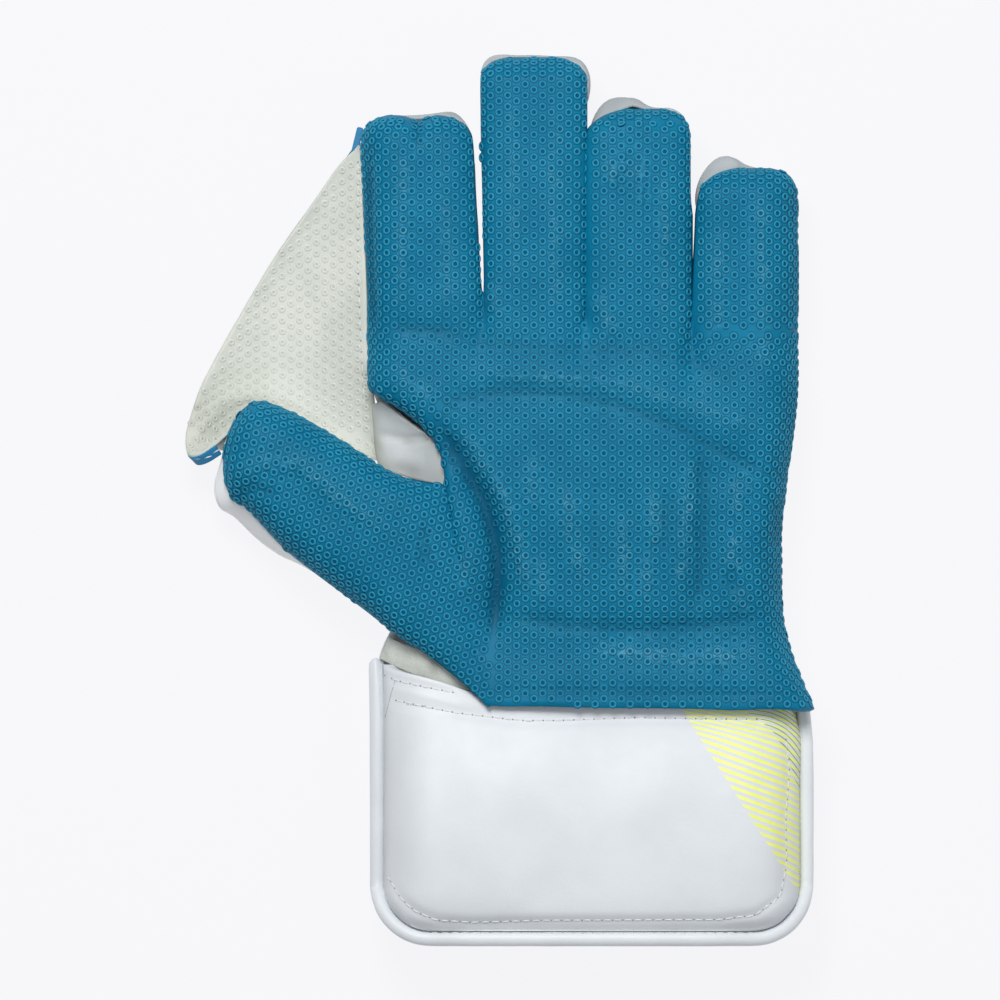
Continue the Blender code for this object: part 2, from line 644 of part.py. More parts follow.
def web_tape(materials):
    """Tape sewn to the outer side of the web along its free edge."""
    rows = []
    near = 0.01
    for s in steps(0.0, TAPE_END, WEB_ROWS):
        lip = ease((s - LIP_FROM) / LIP_RUN)
        inward = section_point(WEB, 1 - near, s) - section_point(WEB, 1.0, s)
        inset = near * TAPE_INSET * (1 - lip) / np.linalg.norm(inward)
        start = np.array(web_point(1 - inset, s, -WEB_SHEET - TAPE_CLEARANCE))
        away = start - section_point(WEB, 1 - inset, s)
        inward /= np.linalg.norm(inward)
        away /= np.linalg.norm(away)
        turned = math.cos(lip * LIP_TURN) * inward + math.sin(lip * LIP_TURN) * away
        rows.append([tuple(start + TAPE_WIDTH * part * turned) for part in (1.0, 0.5, 0.0)])
    return sheet("web_tape", [rows], TAPE, materials["blue_tape"], level_sides=False)


def patch(name, table, rows, columns, thickness, material):
    grid = [[tuple(section_point(table, share, s)) for share in steps(0.0, 1.0, columns)]
            for s in steps(0.0, 1.0, rows)]
    return sheet(name, [grid], thickness, material, level_sides=False)


def cuff_panel(name, materials, back):
    """One of the two padded panels of the cuff, with the rounded corners of its mouth."""
    alongs = steps(-1.0, 0.0, CUFF_CORNER_ROWS) + steps(0.0, 1.0, CUFF_ROWS)[1:]
    grid = [[cuff_section(along, share, back) for share in steps(0.0, 1.0, CUFF_COLUMNS)] for along in alongs]
    return sheet(name, [grid], CUFF_PAD, materials["white_leather"], wall_above=back)


def piping_path(start_turn, left_top, right_top, back):
    """Middle line of the piping: down the left seam, round the mouth and up the right seam."""
    radius = CUFF_CORNER - PIPING_RADIUS
    corner_y = CUFF_BOTTOM + CUFF_CORNER
    rim = [cuff_section(-1.0, share, back) for share in steps(0.0, 1.0, CUFF_COLUMNS)]
    rim_x, rim_z = [x for x, _, _ in rim], [z for _, _, z in rim]
    inward = PIPING_RADIUS if back else -CUFF_PAD / 2
    seam = CUFF_SEAM_Z
    left, right = CUFF_LEFT + CUFF_CORNER, CUFF_RIGHT - CUFF_CORNER
    path = []
    if left_top is not None:
        path += [(CUFF_LEFT + PIPING_RADIUS, y, seam) for y in steps(left_top, corner_y, 10)[:-1]]
    for side, middle in ((-1, left), (1, right)):
        turns = steps(start_turn, math.pi / 2, CUFF_CORNER_TURNS)
        for turn in (turns if side < 0 else reversed(turns)):
            level = rim_z[0] + inward
            z = mix(seam, level, math.sin(turn))
            path.append((middle + side * radius * math.cos(turn), corner_y - radius * math.sin(turn), z))
        if side < 0:
            xs = steps(left, right, 2 * CUFF_CORNER_TURNS)[1:-1]
            path += [(x, CUFF_BOTTOM + PIPING_RADIUS, np.interp(x, rim_x, rim_z) + inward) for x in xs]
    if right_top is not None:
        path += [(CUFF_RIGHT - PIPING_RADIUS, y, seam) for y in steps(corner_y, right_top, 9)[1:]]
    return path


def clear_scene():
    for obj in list(bpy.data.objects):
        bpy.data.objects.remove(obj)


def make_materials():
    made = {}
    for name, (colour, roughness) in MATERIALS.items():
        material = bpy.data.materials.new(name)
        material.use_nodes = True
        shader = material.node_tree.nodes["Principled BSDF"]
        shader.inputs["Base Color"].default_value = (*colour, 1.0)
        shader.inputs["Roughness"].default_value = roughness
        shader.inputs["Metallic"].default_value = 0.0
        made[name] = material
    return made


def main():
    clear_scene()
    materials = make_materials()
    leather = materials["white_leather"]
    palm_rubber(materials)
    hand_back(materials)
    for k in range(4):
        finger_cap(k, materials)
    thumb_back(materials)
    thumb_cap(materials)
    web(materials)
    web_tape(materials)
    patch("crotch_gusset", CROTCH_GUSSET, 6, 4, GUSSET, leather)
    patch("wrist_gusset", WRIST_GUSSET, 4, 8, GUSSET, materials["suede"])
    cuff_panel("cuff_front", materials, False)
    cuff_panel("cuff_back", materials, True)
    tube("cuff_piping", piping_path(0.0, PIPING_LEFT_TOP, PIPING_RIGHT_TOP, False), PIPING_RADIUS,
         PIPING_SIDES, leather)
    tube("cuff_back_piping", piping_path(PIPING_BACK_START, None, None, True), PIPING_RADIUS, PIPING_SIDES, leather)


main()
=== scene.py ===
import math

import bmesh
import bpy
import numpy as np
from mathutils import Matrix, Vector, noise
from mathutils.bvhtree import BVHTree
from mathutils.kdtree import KDTree


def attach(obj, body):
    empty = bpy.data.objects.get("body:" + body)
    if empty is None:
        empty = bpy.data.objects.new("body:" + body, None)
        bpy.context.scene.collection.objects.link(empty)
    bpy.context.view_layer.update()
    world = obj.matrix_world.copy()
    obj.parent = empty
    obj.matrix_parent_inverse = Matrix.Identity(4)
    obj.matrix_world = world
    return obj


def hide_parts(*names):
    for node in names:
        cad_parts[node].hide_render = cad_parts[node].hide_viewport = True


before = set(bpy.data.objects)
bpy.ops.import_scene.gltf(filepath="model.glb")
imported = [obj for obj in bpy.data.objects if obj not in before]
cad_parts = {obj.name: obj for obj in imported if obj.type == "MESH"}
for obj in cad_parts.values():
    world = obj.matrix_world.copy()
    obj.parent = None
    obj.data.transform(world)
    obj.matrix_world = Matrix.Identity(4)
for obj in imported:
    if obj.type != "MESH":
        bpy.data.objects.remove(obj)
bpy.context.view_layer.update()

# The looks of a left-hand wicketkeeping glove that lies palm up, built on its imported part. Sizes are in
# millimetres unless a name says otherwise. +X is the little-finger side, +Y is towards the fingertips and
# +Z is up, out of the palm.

MM = 0.001
SHARP = math.radians(50)
SKIN_LEVELS = 2
CORNER_PASSES = 3
CORNER_SHARE = 0.8
EDGE_FIRMNESS = 0.6
JOINED_WITHIN = 0.01
ABOVE_ALL = 200.0

# Camera: straight above, as far off as a product photo is taken, with this much across its view
VIEW_WIDTH = 350.0
VIEW_CENTRE = (0.35, -0.35)
VIEW_HEIGHT = 24.0
CAMERA_DISTANCE = 6000.0
SENSOR = 36.0

# Studio: strength of the surround and of the glowing pale floor, and power of the two lights in watts
SURROUND = 0.34
FLOOR_GLOW = 0.92
FLOOR_DEPTH = 0.5
FLOOR_SIZE = 3.0
OVERHEAD_POWER = 12.0
SIDE_POWER = 2.0

# Rings moulded on the rubber: a lattice of straight columns whose rings stand half a step apart
COLUMN_STEP = 3.05
RING_STEPS = ((-90.0, 3.74), (20.0, 3.76), (75.0, 3.92), (200.0, 3.92))
THUMB_RING_STEPS = ((-90.0, 3.5), (200.0, 3.5))
RING_RADIUS = 1.42
RING_BAND = 0.76
RING_HEIGHT = 0.44
GROOVE_RADIUS = 1.7
RING_SIDES = 12
RING_ARC = 4
HOLE_SIDES = 8
HOLE_LIFT = 0.22
GROOVE_LIFT = 0.12
RING_CLEAR = 2.6
RING_TO_EDGE = 1.0
WEB_RING_RADIUS = 1.3
WEB_RING_BAND = 0.9
WEB_RING_HEIGHT = 0.3
WEB_GROOVE_RADIUS = 1.45

# Fields of rings: from and up to where along their columns, from and up to where across them, and the line
# among the columns from which the distance across is measured
FINGERS_FROM = 58.0
SLITS = (-5.6, 30.1, 67.2)
FIELDS = (
    (-76.0, FINGERS_FROM, -60.0, 120.0, 29.0),
    (FINGERS_FROM, 140.0, -60.0, SLITS[0], -26.2),
    (FINGERS_FROM, 160.0, SLITS[0], SLITS[1], 12.2),
    (FINGERS_FROM, 142.0, SLITS[1], SLITS[2], 48.6),
    (FINGERS_FROM, 122.0, SLITS[2], 120.0, 85.6),
)
THUMB_TURN = math.radians(48)
THUMB_FIELD = (-60.0, 110.0, -120.0, 60.0, -38.0)
WEB_FIELD = (-10.0, 130.0, -120.0, 0.0, -60.0)
WEB_ANCHOR = 60.0
THUMB_ANCHOR = 30.0
CREASE_MARGIN = 0.2
FAR = 300.0

# Folds, dents and ridges of the rubber: path, half width and height, where a minus sign presses inwards. Each
# starts and ends at FOLD_END of its height and reaches all of it within a quarter of its length.
# Raised folds also set where the rubber's painted sheen goes, and pressed ones set its painted crease shade.
FOLD_END = 0.25
FOLD_RISE = 4.0
RUBBER_FOLDS = (
    # creases between thumb and palm, across the palm, below the fingers, and down and along the heel of the hand
    (((-21.0, 26.0), (-17.5, 20.0), (-11.2, 9.1), (-5.6, -0.7), (-3.0, -9.0), (-0.6, -19.0), (-0.4, -30.0),
      (-1.6, -41.0), (-2.5, -50.0)), 2.6, -2.3),
    (((-21.7, 27.7), (-14.4, 35.4), (2.1, 38.2), (21.4, 37.1), (42.4, 32.9), (58.1, 27.0), (70.4, 20.7),
      (86.1, 12.6), (101.0, 6.7)), 2.3, -0.9),
    (((-40.0, 59.0), (-24.2, 58.5), (-6.7, 54.6), (21.4, 52.2), (49.4, 52.2), (70.4, 46.9), (86.1, 36.4)), 3.0, -0.5),
    (((-37.5, 60.4), (-25.5, 60.0), (-16.0, 58.5)), 2.4, -0.8),
    (((70.4, 17.5), (71.2, -0.4), (70.4, -21.4), (68.3, -40.0)), 2.1, -1.1),
    (((1.5, -41.0), (21.4, -43.4), (48.3, -45.2), (70.4, -43.8), (94.0, -40.6)), 2.3, -1.1),
    (((-2.0, -66.9), (106.0, -67.8)), 2.0, -0.7),
    (((33.3, 8.0), (33.3, -25.0)), 2.2, -0.5),
    (((58.6, 4.0), (58.1, -20.0)), 2.0, -0.6),
    (((97.0, 0.0), (96.5, -18.0)), 2.4, -0.6),
    (((78.0, -27.0), (83.0, -33.0)), 2.2, -0.6),
    (((78.0, -57.0), (76.0, -61.0)), 2.0, -0.5),
    (((-92.0, 1.0), (-85.4, 4.6), (-78.0, 2.0)), 1.9, -1.0),
    (((-26.3, -8.0), (-26.3, -24.0)), 2.6, -0.8),
    (((66.6, 98.0), (66.6, 68.0)), 2.0, -0.5),
    # the ridge beside the thumb's crease, and those of the palm and its heel
    (((-14.5, 27.0), (-7.4, 15.4), (-2.0, 6.7), (2.6, -2.1), (6.0, -12.6), (8.6, -24.0), (9.5, -33.0)), 2.0, 1.0),
    (((12.3, 14.0), (12.3, -3.0)), 2.4, 0.7),
    (((14.0, -20.0), (15.4, -36.0)), 2.4, 0.6),
    (((23.0, 4.0), (25.6, -10.9), (29.8, -30.0)), 2.4, 0.8),
    (((43.8, -6.0), (43.8, -22.0), (42.5, -34.0)), 2.3, 0.8),
    (((54.3, 2.0), (54.3, -16.0)), 2.2, 0.9),
    (((52.4, -20.0), (50.5, -37.0)), 2.2, 0.7),
    (((66.5, 13.0), (65.6, -4.0), (63.5, -34.0)), 2.1, 0.8),
    (((83.3, 6.0), (83.3, -6.0)), 2.8, 0.8),
    (((82.5, -13.0), (81.9, -25.0)), 2.8, 1.0),
    (((84.4, -31.0), (84.4, -40.0)), 2.6, 0.8),
    (((33.0, -54.0), (44.0, -53.0), (59.5, -55.3), (71.0, -55.0), (90.0, -53.4)), 2.8, 0.9),
    (((-12.0, 45.0), (21.4, 42.0), (49.4, 38.6), (74.6, 29.9), (96.0, 23.0)), 2.8, 0.5),
    (((-36.5, 47.0), (-32.5, 39.5), (-25.0, 36.8), (-20.5, 40.0)), 2.2, 0.6),
    # fingers from index to little finger: two ridges each and a raised place at the foot
    (((-33.0, 120.0), (-33.6, 108.0), (-34.3, 64.0)), 2.4, 0.7),
    (((-18.2, 122.0), (-17.5, 66.0)), 2.2, 0.45),
    (((4.6, 140.0), (5.6, 72.0)), 2.2, 0.5),
    (((19.6, 140.0), (20.0, 64.0)), 2.2, 0.6),
    (((-2.6, 74.0), (-0.6, 64.0)), 2.4, 0.9),
    (((36.0, 114.5), (44.0, 116.0), (53.0, 113.0)), 2.6, 0.8),
    (((34.0, 71.0), (40.4, 57.0)), 2.3, 0.9),
    (((58.0, 112.0), (57.7, 60.0)), 2.3, 0.5),
    (((78.0, 96.0), (75.3, 55.0)), 2.3, 0.6),
    (((-45.2, 124.0), (-45.2, 100.0), (-44.7, 80.0), (-43.5, 58.0)), 1.3, -1.4),
    (((-28.3, 134.0), (-28.6, 123.0)), 1.6, -1.1),
    (((91.4, 106.0), (92.8, 43.0)), 2.3, 0.8),
    # thumb
    (((-91.0, 8.5), (-83.0, 12.4), (-69.6, 12.6), (-54.6, -0.6), (-38.0, -11.5)), 2.4, 0.8),
    (((-11.5, -16.0), (-11.5, -36.0)), 2.6, 0.6),
)
# Painted shade in the rubber's creases: the crease depth at which it is full, and how dark it gets
DEEPEST = 2.0
CREASE_PAINTED_SHADE = 0.7
RUBBER_SHINE = 0.12
RUBBER_WAVE = 0.6
RUBBER_WAVE_SIZE = 17.0
# Painted sheen on the rubber: size of its patches on the ridges, and a faint sheen spread in clouds of this size
SHEEN_PATCHES = 5.0
FAINT_SHEEN = 0.12
FAINT_SHEEN_SIZE = 11.0

# Where the web, the gusset and the suede are darkened, by real dirt and by painted shade in the web's bends and the
# gusset's seam: path in plan, reach and strength, and the size of its clouds
SHADE_AND_SOIL_CLOUDS = 5.0
SHADE_AND_SOILED = (
    (((-46.0, 46.0), (-44.0, 36.0), (-42.6, 24.0), (-41.0, 11.0)), 3.0, 0.9),
    (((-108.0, 30.0), (-107.0, 21.0), (-98.0, 24.0)), 7.0, 0.65),
    (((-100.0, 34.0), (-90.0, 30.0)), 7.0, 0.2),
    (((-24.5, -54.0), (-22.5, -59.0)), 2.6, 0.7),
    (((-38.0, -58.0), (-41.0, -52.0)), 1.6, 0.4),
    (((-33.0, 20.2), (-27.0, 20.2), (-24.0, 21.4)), 0.8, 0.6),
    (((-40.0, 12.0), (-30.0, 9.0)), 3.0, 0.3),
)

# Where soft pieces are pushed over in plan so that they meet: centre, reach and shift
THUMB_TIP_PUSH = (((-94.0, 17.0), (9.0, 13.0), (-3.0, 0.2)),)
INDEX_TIP_PUSH = (((-28.3, 135.0), (4.0, 7.0), (0.0, -1.7)),)
WEB_PUSH = (((-43.0, 22.0), (9.0, 16.0), (2.3, 0.0)), ((-47.5, 80.0), (5.0, 42.0), (0.9, 0.0)),
            ((-44.0, 38.0), (5.0, 7.0), (0.8, 0.0)), ((-50.0, 124.0), (4.5, 15.0), (1.2, -1.6)))
TAPE_PUSH = (((-101.5, 14.0), (9.0, 7.0), (-0.45, 0.8)),)
TAPE_LIFT = 0.5
GUSSET_PUSH = (((-42.0, 22.0), (5.0, 20.0), (-1.1, 0.0)),)
CAP_PUSH = {
    "middle_cap": (((-4.0, 153.0), (9.0, 8.0), (-0.8, 1.4)), ((12.0, 154.0), (8.0, 8.0), (0.0, 0.9)),
                   ((28.5, 144.0), (5.0, 13.0), (2.0, 0.6))),
    "ring_cap": (((45.0, 138.0), (6.0, 8.0), (2.2, 2.6)), ((60.0, 135.0), (6.0, 8.0), (0.8, 0.8))),
    "little_cap": (((79.0, 118.0), (6.0, 8.0), (2.0, 1.8)),),
    "index_cap": (((-20.0, 136.0), (6.0, 8.0), (0.0, 0.4)),),
}
CAP_PASSES = 6
SLIT_CLOSING = ((SLITS[1], 1.1, 60.0, 200.0), (SLITS[2], 0.9, 60.0, 106.0))
SLIT_REACH = 3.0
SLIT_FOOT = 8.0
SLIT_HEAD = 6.0
LEATHER_DENTS = (0.35, 12.0)
SUEDE_DENTS = (0.3, 8.0)
PIPING_WAVE = (0.1, 9.0)

# The crotch gusset's fold and swell, the same way as the rubber's
GUSSET_FOLDS = (
    (((-42.0, 22.8), (-33.0, 20.6), (-24.0, 21.6)), 1.5, -0.9),
    (((-38.0, 14.5), (-26.0, 12.5)), 3.6, 1.0),
    (((-38.0, 30.0), (-29.0, 27.0)), 3.0, 0.6),
)

# Cuff: swell of its padding, and stitched channels as paths in plan, pressed into it
PAD_LEVELS = 3
PAD_SWELL = 0.55
PAD_SWELL_SIZE = 46.0
CHANNEL_WIDTH = 1.6
CHANNEL_DEPTH = 0.8
GUTTER_Y = -149.6
GUTTER_REACH = 2.2
GUTTER_DEPTH = 0.9
RIM_REACH = 5.0
RIM_SPREAD = 0.8
CUFF_STITCHING = {
    "edge": ((-39.9, -61.6), (-36.0, -63.4), (-26.0, -65.6), (-16.1, -67.6)),
    "band": ((-36.0, -70.4), (-26.9, -72.4), (-15.4, -74.6), (-4.9, -75.9), (7.7, -77.4), (20.0, -77.4),
             (49.4, -76.3), (65.1, -76.7), (90.0, -77.0)),
    "border": ((100.2, -84.0), (101.5, -93.1), (100.1, -112.0), (100.4, -127.4), (98.3, -138.3), (90.0, -144.9),
               (77.4, -146.7), (14.4, -147.0), (-8.4, -147.7), (-20.7, -147.0), (-27.0, -144.9), (-31.5, -142.1),
               (-35.0, -138.3), (-37.8, -133.7)),
}
PIPING_STITCHING = ((-24.0, -151.4), (30.0, -151.6), (86.0, -151.4))
# Creases drawn as thin dark lines, which are painted shade in their folds, and a loose thread in the same dark, as
# paths in plan
CREASES = {
    "cuff_crease": ((-36.4, -63.7), (-37.8, -68.3), (-39.6, -75.6)),
    "loose_thread": ((-32.2, -71.9), (-29.0, -72.2), (-26.3, -72.3)),
}
CREASE_STEP = 0.9
CREASE_THREAD = 0.11
STITCH_STEP = 3.5
STITCH_LENGTH = 2.5
THREAD = 0.28
NEEDLE_HOLE = 0.34
PIPING_HOLE = 0.2
WEB_STITCH_STEP = 3.85
TAPE_STITCHES = {"step": 3.0, "length": 2.5, "thread": 0.24, "hole": 0.12}
PATH_STEP = 2.0
PIPING_PASSES = 8
PIPING_SPARE = 0.15
PIPING_PUSH = (((107.0, -74.0), (7.0, 7.0), (-1.0, 0.0)), ((-42.0, -58.0), (6.0, 9.0), (-0.6, 0.0)))
PIPING_ENDS = ((-60.0, 0.42, -100.0, 0.0), (-74.0, 0.25, 90.0, 200.0))
TAPE_END = ((-50.6, 121.6), (-48.5, 130.2))
TAPE_END_WIDTH = 2.4
TAPE_END_THICKNESS = 1.2
TAPE_END_ROUNDING = 0.35
TAPE_END_BELOW = 1.0
WEB_CORNER = ((-52.0, -50.5, -49.5), (116.0, 118.0, 120.0))
WEB_ROOT_STITCHING = ((-49.4, 118.0), (-49.4, 84.0), (-48.6, 60.0), (-47.4, 36.0))
TAPE_STITCHING = ((-109.6, 16.4), (-106.6, 14.0), (-102.6, 14.3), (-99.9, 16.1), (-97.6, 18.2))

# The cuff's printed hatch: pitch, slopes and width of its stripes, the wedge that they fill, and the thin lines,
# whose corner is bounded by three straight edges given as a slope and a least value of x + slope * y
HATCH_STEP = 2.52
HATCH_SLOPE = 0.36
HATCH_STEEP = 0.55
HATCH_BEND = 99.4
HATCH_PHASE = 1.35
CLOSER_ABOVE = -86.1
CLOSER = 0.0355
STRIPE = 1.3
WEDGE_LEFT = 64.4
WEDGE_SLOPE = 0.635
WEDGE_TOP = -74.2
LINE = 0.42
LINE_SLOPE = 0.30
LINE_CURVE = 0.05
LINE_BEND = 93.0
LINES_EDGES = ((1.43, -19.8), (0.68, 40.4), (0.33, 71.2))


class Value:
    """A number or colour in a finish, worked out from others with plain operators."""

    def __init__(self, paint, socket):
        self.paint = paint
        self.socket = socket

    def maths(self, operation, *others):
        return self.paint.add("ShaderNodeMath", {"operation": operation}, [self, *others])

    def __add__(self, other):
        return self.maths("ADD", other)

    def __sub__(self, other):
        return self.maths("SUBTRACT", other)

    def __rsub__(self, other):
        return self.maths("MULTIPLY", -1.0).maths("ADD", other)

    def __mul__(self, other):
        return self.maths("MULTIPLY", other)

    def __mod__(self, other):
        return self.maths("FLOORED_MODULO", other)

    __radd__ = __add__
    __rmul__ = __mul__

    def ramp(self, low, high):
        """0 below low and 1 above high, or the other way round, with a smooth rise."""
        settings = {"interpolation_type": "SMOOTHSTEP"}
        return self.paint.add("ShaderNodeMapRange", settings, {"Value": self, "From Min": low, "From Max": high})


class Paint:
    """The nodes of one finish."""

    def __init__(self, name, roughness, **constants):
        self.material = bpy.data.materials.new(name)
        self.material.use_nodes = True
        self.tree = self.material.node_tree
        self.shader = self.tree.nodes["Principled BSDF"]
        self.set(Roughness=roughness, **constants)

    def feed(self, socket, value):
        if isinstance(value, Value):
            self.tree.links.new(value.socket, socket)
        else:
            socket.default_value = value

    def add(self, kind, settings, inputs, output=0):
        """A node of one kind with its settings, and the values or links of its sockets."""
        node = self.tree.nodes.new(kind)
        for name, value in settings.items():
            setattr(node, name, value)
        for key, value in inputs.items() if isinstance(inputs, dict) else enumerate(inputs):
            self.feed(node.inputs[key], value)
        return Value(self, node.outputs[output])

    def set(self, **sockets):
        for name, value in sockets.items():
            self.feed(self.shader.inputs[name.replace("_", " ")], value)

    def place(self, axis=None):
        """The point of the surface in metres, or one of its coordinates in millimetres."""
        point = self.add("ShaderNodeTexCoord", {}, {}, "Object")
        if axis is None:
            return point
        return self.add("ShaderNodeSeparateXYZ", {}, [point], axis) * (1 / MM)

    def noise(self, size, detail=2.0, rough=0.5, stretch=(1.0, 1.0, 1.0)):
        """Cloudy variation from 0 to 1 whose clouds are about this many millimetres across."""
        point = self.add("ShaderNodeMapping", {}, {"Vector": self.place(), "Scale": stretch})
        inputs = {"Vector": point, "Scale": 1 / (size * MM), "Detail": detail, "Roughness": rough}
        return self.add("ShaderNodeTexNoise", {}, inputs)

    def cells(self, size, stretch=(1.0, 1.0, 1.0)):
        """Distance from the middle of irregular cells of this size, as in leather grain."""
        point = self.add("ShaderNodeMapping", {}, {"Vector": self.place(), "Scale": stretch})
        inputs = {"Vector": point, "Scale": 1 / (size * MM), "Randomness": 1.0}
        return self.add("ShaderNodeTexVoronoi", {"feature": "SMOOTH_F1"}, inputs)

    def attribute(self, name):
        return self.add("ShaderNodeAttribute", {"attribute_name": name}, {}, "Fac")

    def blend(self, share, first, second):
        """A colour between two others."""
        first, second = (c if isinstance(c, Value) else (*c, 1.0) for c in (first, second))
        inputs = {0: share, 6: first, 7: second}
        return self.add("ShaderNodeMix", {"data_type": "RGBA"}, inputs, 2)

    def bump(self, height, depth):
        inputs = {"Height": height, "Distance": depth * MM, "Strength": 1.0}
        self.set(Normal=self.add("ShaderNodeBump", {}, inputs))


def mix(a, b, share):
    return a + (b - a) * share


def ease(share):
    share = np.clip(share, 0.0, 1.0)
    return share * share * (3 - 2 * share)


def nearest(x, y, path):
    """Distance from points in plan to a path, and the share of the way along it of the nearest place."""
    best, where = np.full(x.shape, 1e9), np.zeros(x.shape)
    for k, ((x0, y0), (x1, y1)) in enumerate(zip(path, path[1:])):
        dx, dy = x1 - x0, y1 - y0
        share = np.clip(((x - x0) * dx + (y - y0) * dy) / (dx * dx + dy * dy), 0.0, 1.0)
        gap = np.hypot(x - x0 - share * dx, y - y0 - share * dy)
        closer = gap < best
        best = np.where(closer, gap, best)
        where = np.where(closer, (k + share) / (len(path) - 1), where)
    return best, where


def fold_height(x, y, folds):
    """Height that the folds give to points in plan, fading out at the ends of each."""
    total = np.zeros(x.shape)
    for path, half_width, height in folds:
        gap, where = nearest(x, y, path)
        fade = ease(np.minimum(where, 1 - where) * FOLD_RISE + FOLD_END)
        total += height * fade * np.exp(-((gap / half_width) ** 2))
    return total


def pushed(points, pushes):
    """Points shifted in plan, most in the middle of each push."""
    moved = points.copy()
    for (x, y), (wide, long), (dx, dy) in pushes:
        share = np.exp(-(((points[:, 0] - x) / wide) ** 2) - ((points[:, 1] - y) / long) ** 2)
        moved[:, 0] += dx * share
        moved[:, 1] += dy * share
    return moved


def closed_slits(points):
    """Points of the fingers' sides moved together where neighbouring fingers touch."""
    moved = points.copy()
    for x, amount, low, high in SLIT_CLOSING:
        off = points[:, 0] - x
        share = np.exp(-((off / SLIT_REACH) ** 2))
        share = share * ease((points[:, 1] - low) / SLIT_FOOT) * ease((high - points[:, 1]) / SLIT_HEAD)
        moved[:, 0] -= np.sign(off) * amount * share
    return moved


def clouds(points, size, seed):
    """Soft noise from about -1 to 1 at each point."""
    shift = Vector((seed * 31.7, seed * 17.3, seed * 5.9))
    return np.array([noise.noise(Vector(point) / size + shift) for point in points])


def seen_wall(bm):
    """Faces of the wall that is seen from above: those reached from its flattest part with no sharp turn."""
    start = max(bm.faces, key=lambda face: face.normal.z * face.calc_area())
    reached, edge_of_search = {start}, [start]
    while edge_of_search:
        face = edge_of_search.pop()
        for edge in face.edges:
            for other in edge.link_faces:
                if other not in reached and face.normal.angle(other.normal) < SHARP:
                    reached.add(other)
                    edge_of_search.append(other)
    return reached


def skin(node, levels=SKIN_LEVELS, sharp=SHARP):
    """A CAD node's solid as a new object, its triangles joined up and its shape rounded."""
    bm = bmesh.new()
    bm.from_mesh(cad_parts[node].data)
    bmesh.ops.remove_doubles(bm, verts=bm.verts, dist=JOINED_WITHIN * MM)
    bmesh.ops.join_triangles(bm, faces=bm.faces, angle_face_threshold=math.pi, angle_shape_threshold=math.pi)
    bm.normal_update()
    crease = bm.edges.layers.float.new("crease_edge")
    for edge in bm.edges:
        if edge.calc_face_angle(0.0) > sharp:
            edge[crease] = EDGE_FIRMNESS
    wall = bm.faces.layers.int.new("seen")
    for face in seen_wall(bm):
        face[wall] = 1
    mesh = bpy.data.meshes.new(node + "_skin")
    bm.to_mesh(mesh)
    bm.free()
    obj = bpy.data.objects.new(mesh.name, mesh)
    bpy.context.scene.collection.objects.link(obj)
    smooth = obj.modifiers.new("rounded", "SUBSURF")
    smooth.levels = smooth.render_levels = levels
    keep_corners(obj)
    bake_modifiers(obj)
    obj["replaced"] = node
    return obj


def keep_corners(obj):
    """Shifts a solid's corners so that its rounded surface passes through where they were."""
    corners, _ = points_and_normals(obj)
    shifted = corners.copy()
    for _ in range(CORNER_PASSES):
        graph = bpy.context.evaluated_depsgraph_get()
        rounded = bpy.data.meshes.new_from_object(obj.evaluated_get(graph))
        reached = np.array([tuple(vertex.co) for vertex in rounded.vertices[:len(corners)]]) / MM
        bpy.data.meshes.remove(rounded)
        shifted += CORNER_SHARE * (corners - reached)
        move_points(obj, shifted)


def bake_modifiers(obj):
    """Turns what an object's modifiers make into its plain mesh."""
    graph = bpy.context.evaluated_depsgraph_get()
    mesh = bpy.data.meshes.new_from_object(obj.evaluated_get(graph))
    mesh.name = obj.name
    obj.modifiers.clear()
    obj.data = mesh
    mesh.polygons.foreach_set("use_smooth", [True] * len(mesh.polygons))


def points_and_normals(obj):
    count = len(obj.data.vertices)
    points, normals = np.empty(count * 3), np.empty(count * 3)
    obj.data.vertices.foreach_get("co", points)
    obj.data.vertices.foreach_get("normal", normals)
    return points.reshape(-1, 3) / MM, normals.reshape(-1, 3)


def move_points(obj, points):
    obj.data.vertices.foreach_set("co", (points * MM).ravel())
    obj.data.update()


def add_attribute(obj, name, values):
    layer = obj.data.attributes.new(name, "FLOAT", "POINT")
    layer.data.foreach_set("value", np.asarray(values, np.float32))


def finish_piece(obj, material):
    """Gives a piece its finish and its place in the part."""
    if material is not None:
        obj.data.materials.clear()
        obj.data.materials.append(material)
    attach(obj, "root")
    if "replaced" in obj:
        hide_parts(obj["replaced"])
        del obj["replaced"]
    return obj


def outward(obj, normals):
    """Which way is out of the glove at each point of a sheet: its normal, turned round on the hidden wall."""
    seen = np.empty(len(obj.data.polygons), dtype=np.int32)
    obj.data.attributes["seen"].data.foreach_get("value", seen)
    side = np.zeros(len(obj.data.vertices))
    for face in obj.data.polygons:
        for number in face.vertices:
            side[number] += 0.25 if seen[face.index] else -0.25
    return normals * np.clip(side, -1.0, 1.0)[:, None]


def rubber_face():
    """Rubber over the palm, the fingers and the thumb, with its folds at their full sharpness."""
    obj = skin("palm_rubber")
    points, normals = points_and_normals(obj)
    folds = fold_height(points[:, 0], points[:, 1], RUBBER_FOLDS)
    waves = clouds(points * (1.0, 0.55, 1.0), RUBBER_WAVE_SIZE, 1)
    points += outward(obj, normals) * (folds + RUBBER_WAVE * waves)[:, None]
    points = closed_slits(pushed(points, THUMB_TIP_PUSH + INDEX_TIP_PUSH))
    move_points(obj, points)
    add_attribute(obj, "painted_sheen", painted_sheen_share(points))
    add_attribute(obj, "crease_shade", crease_shade_share(points))
    return obj


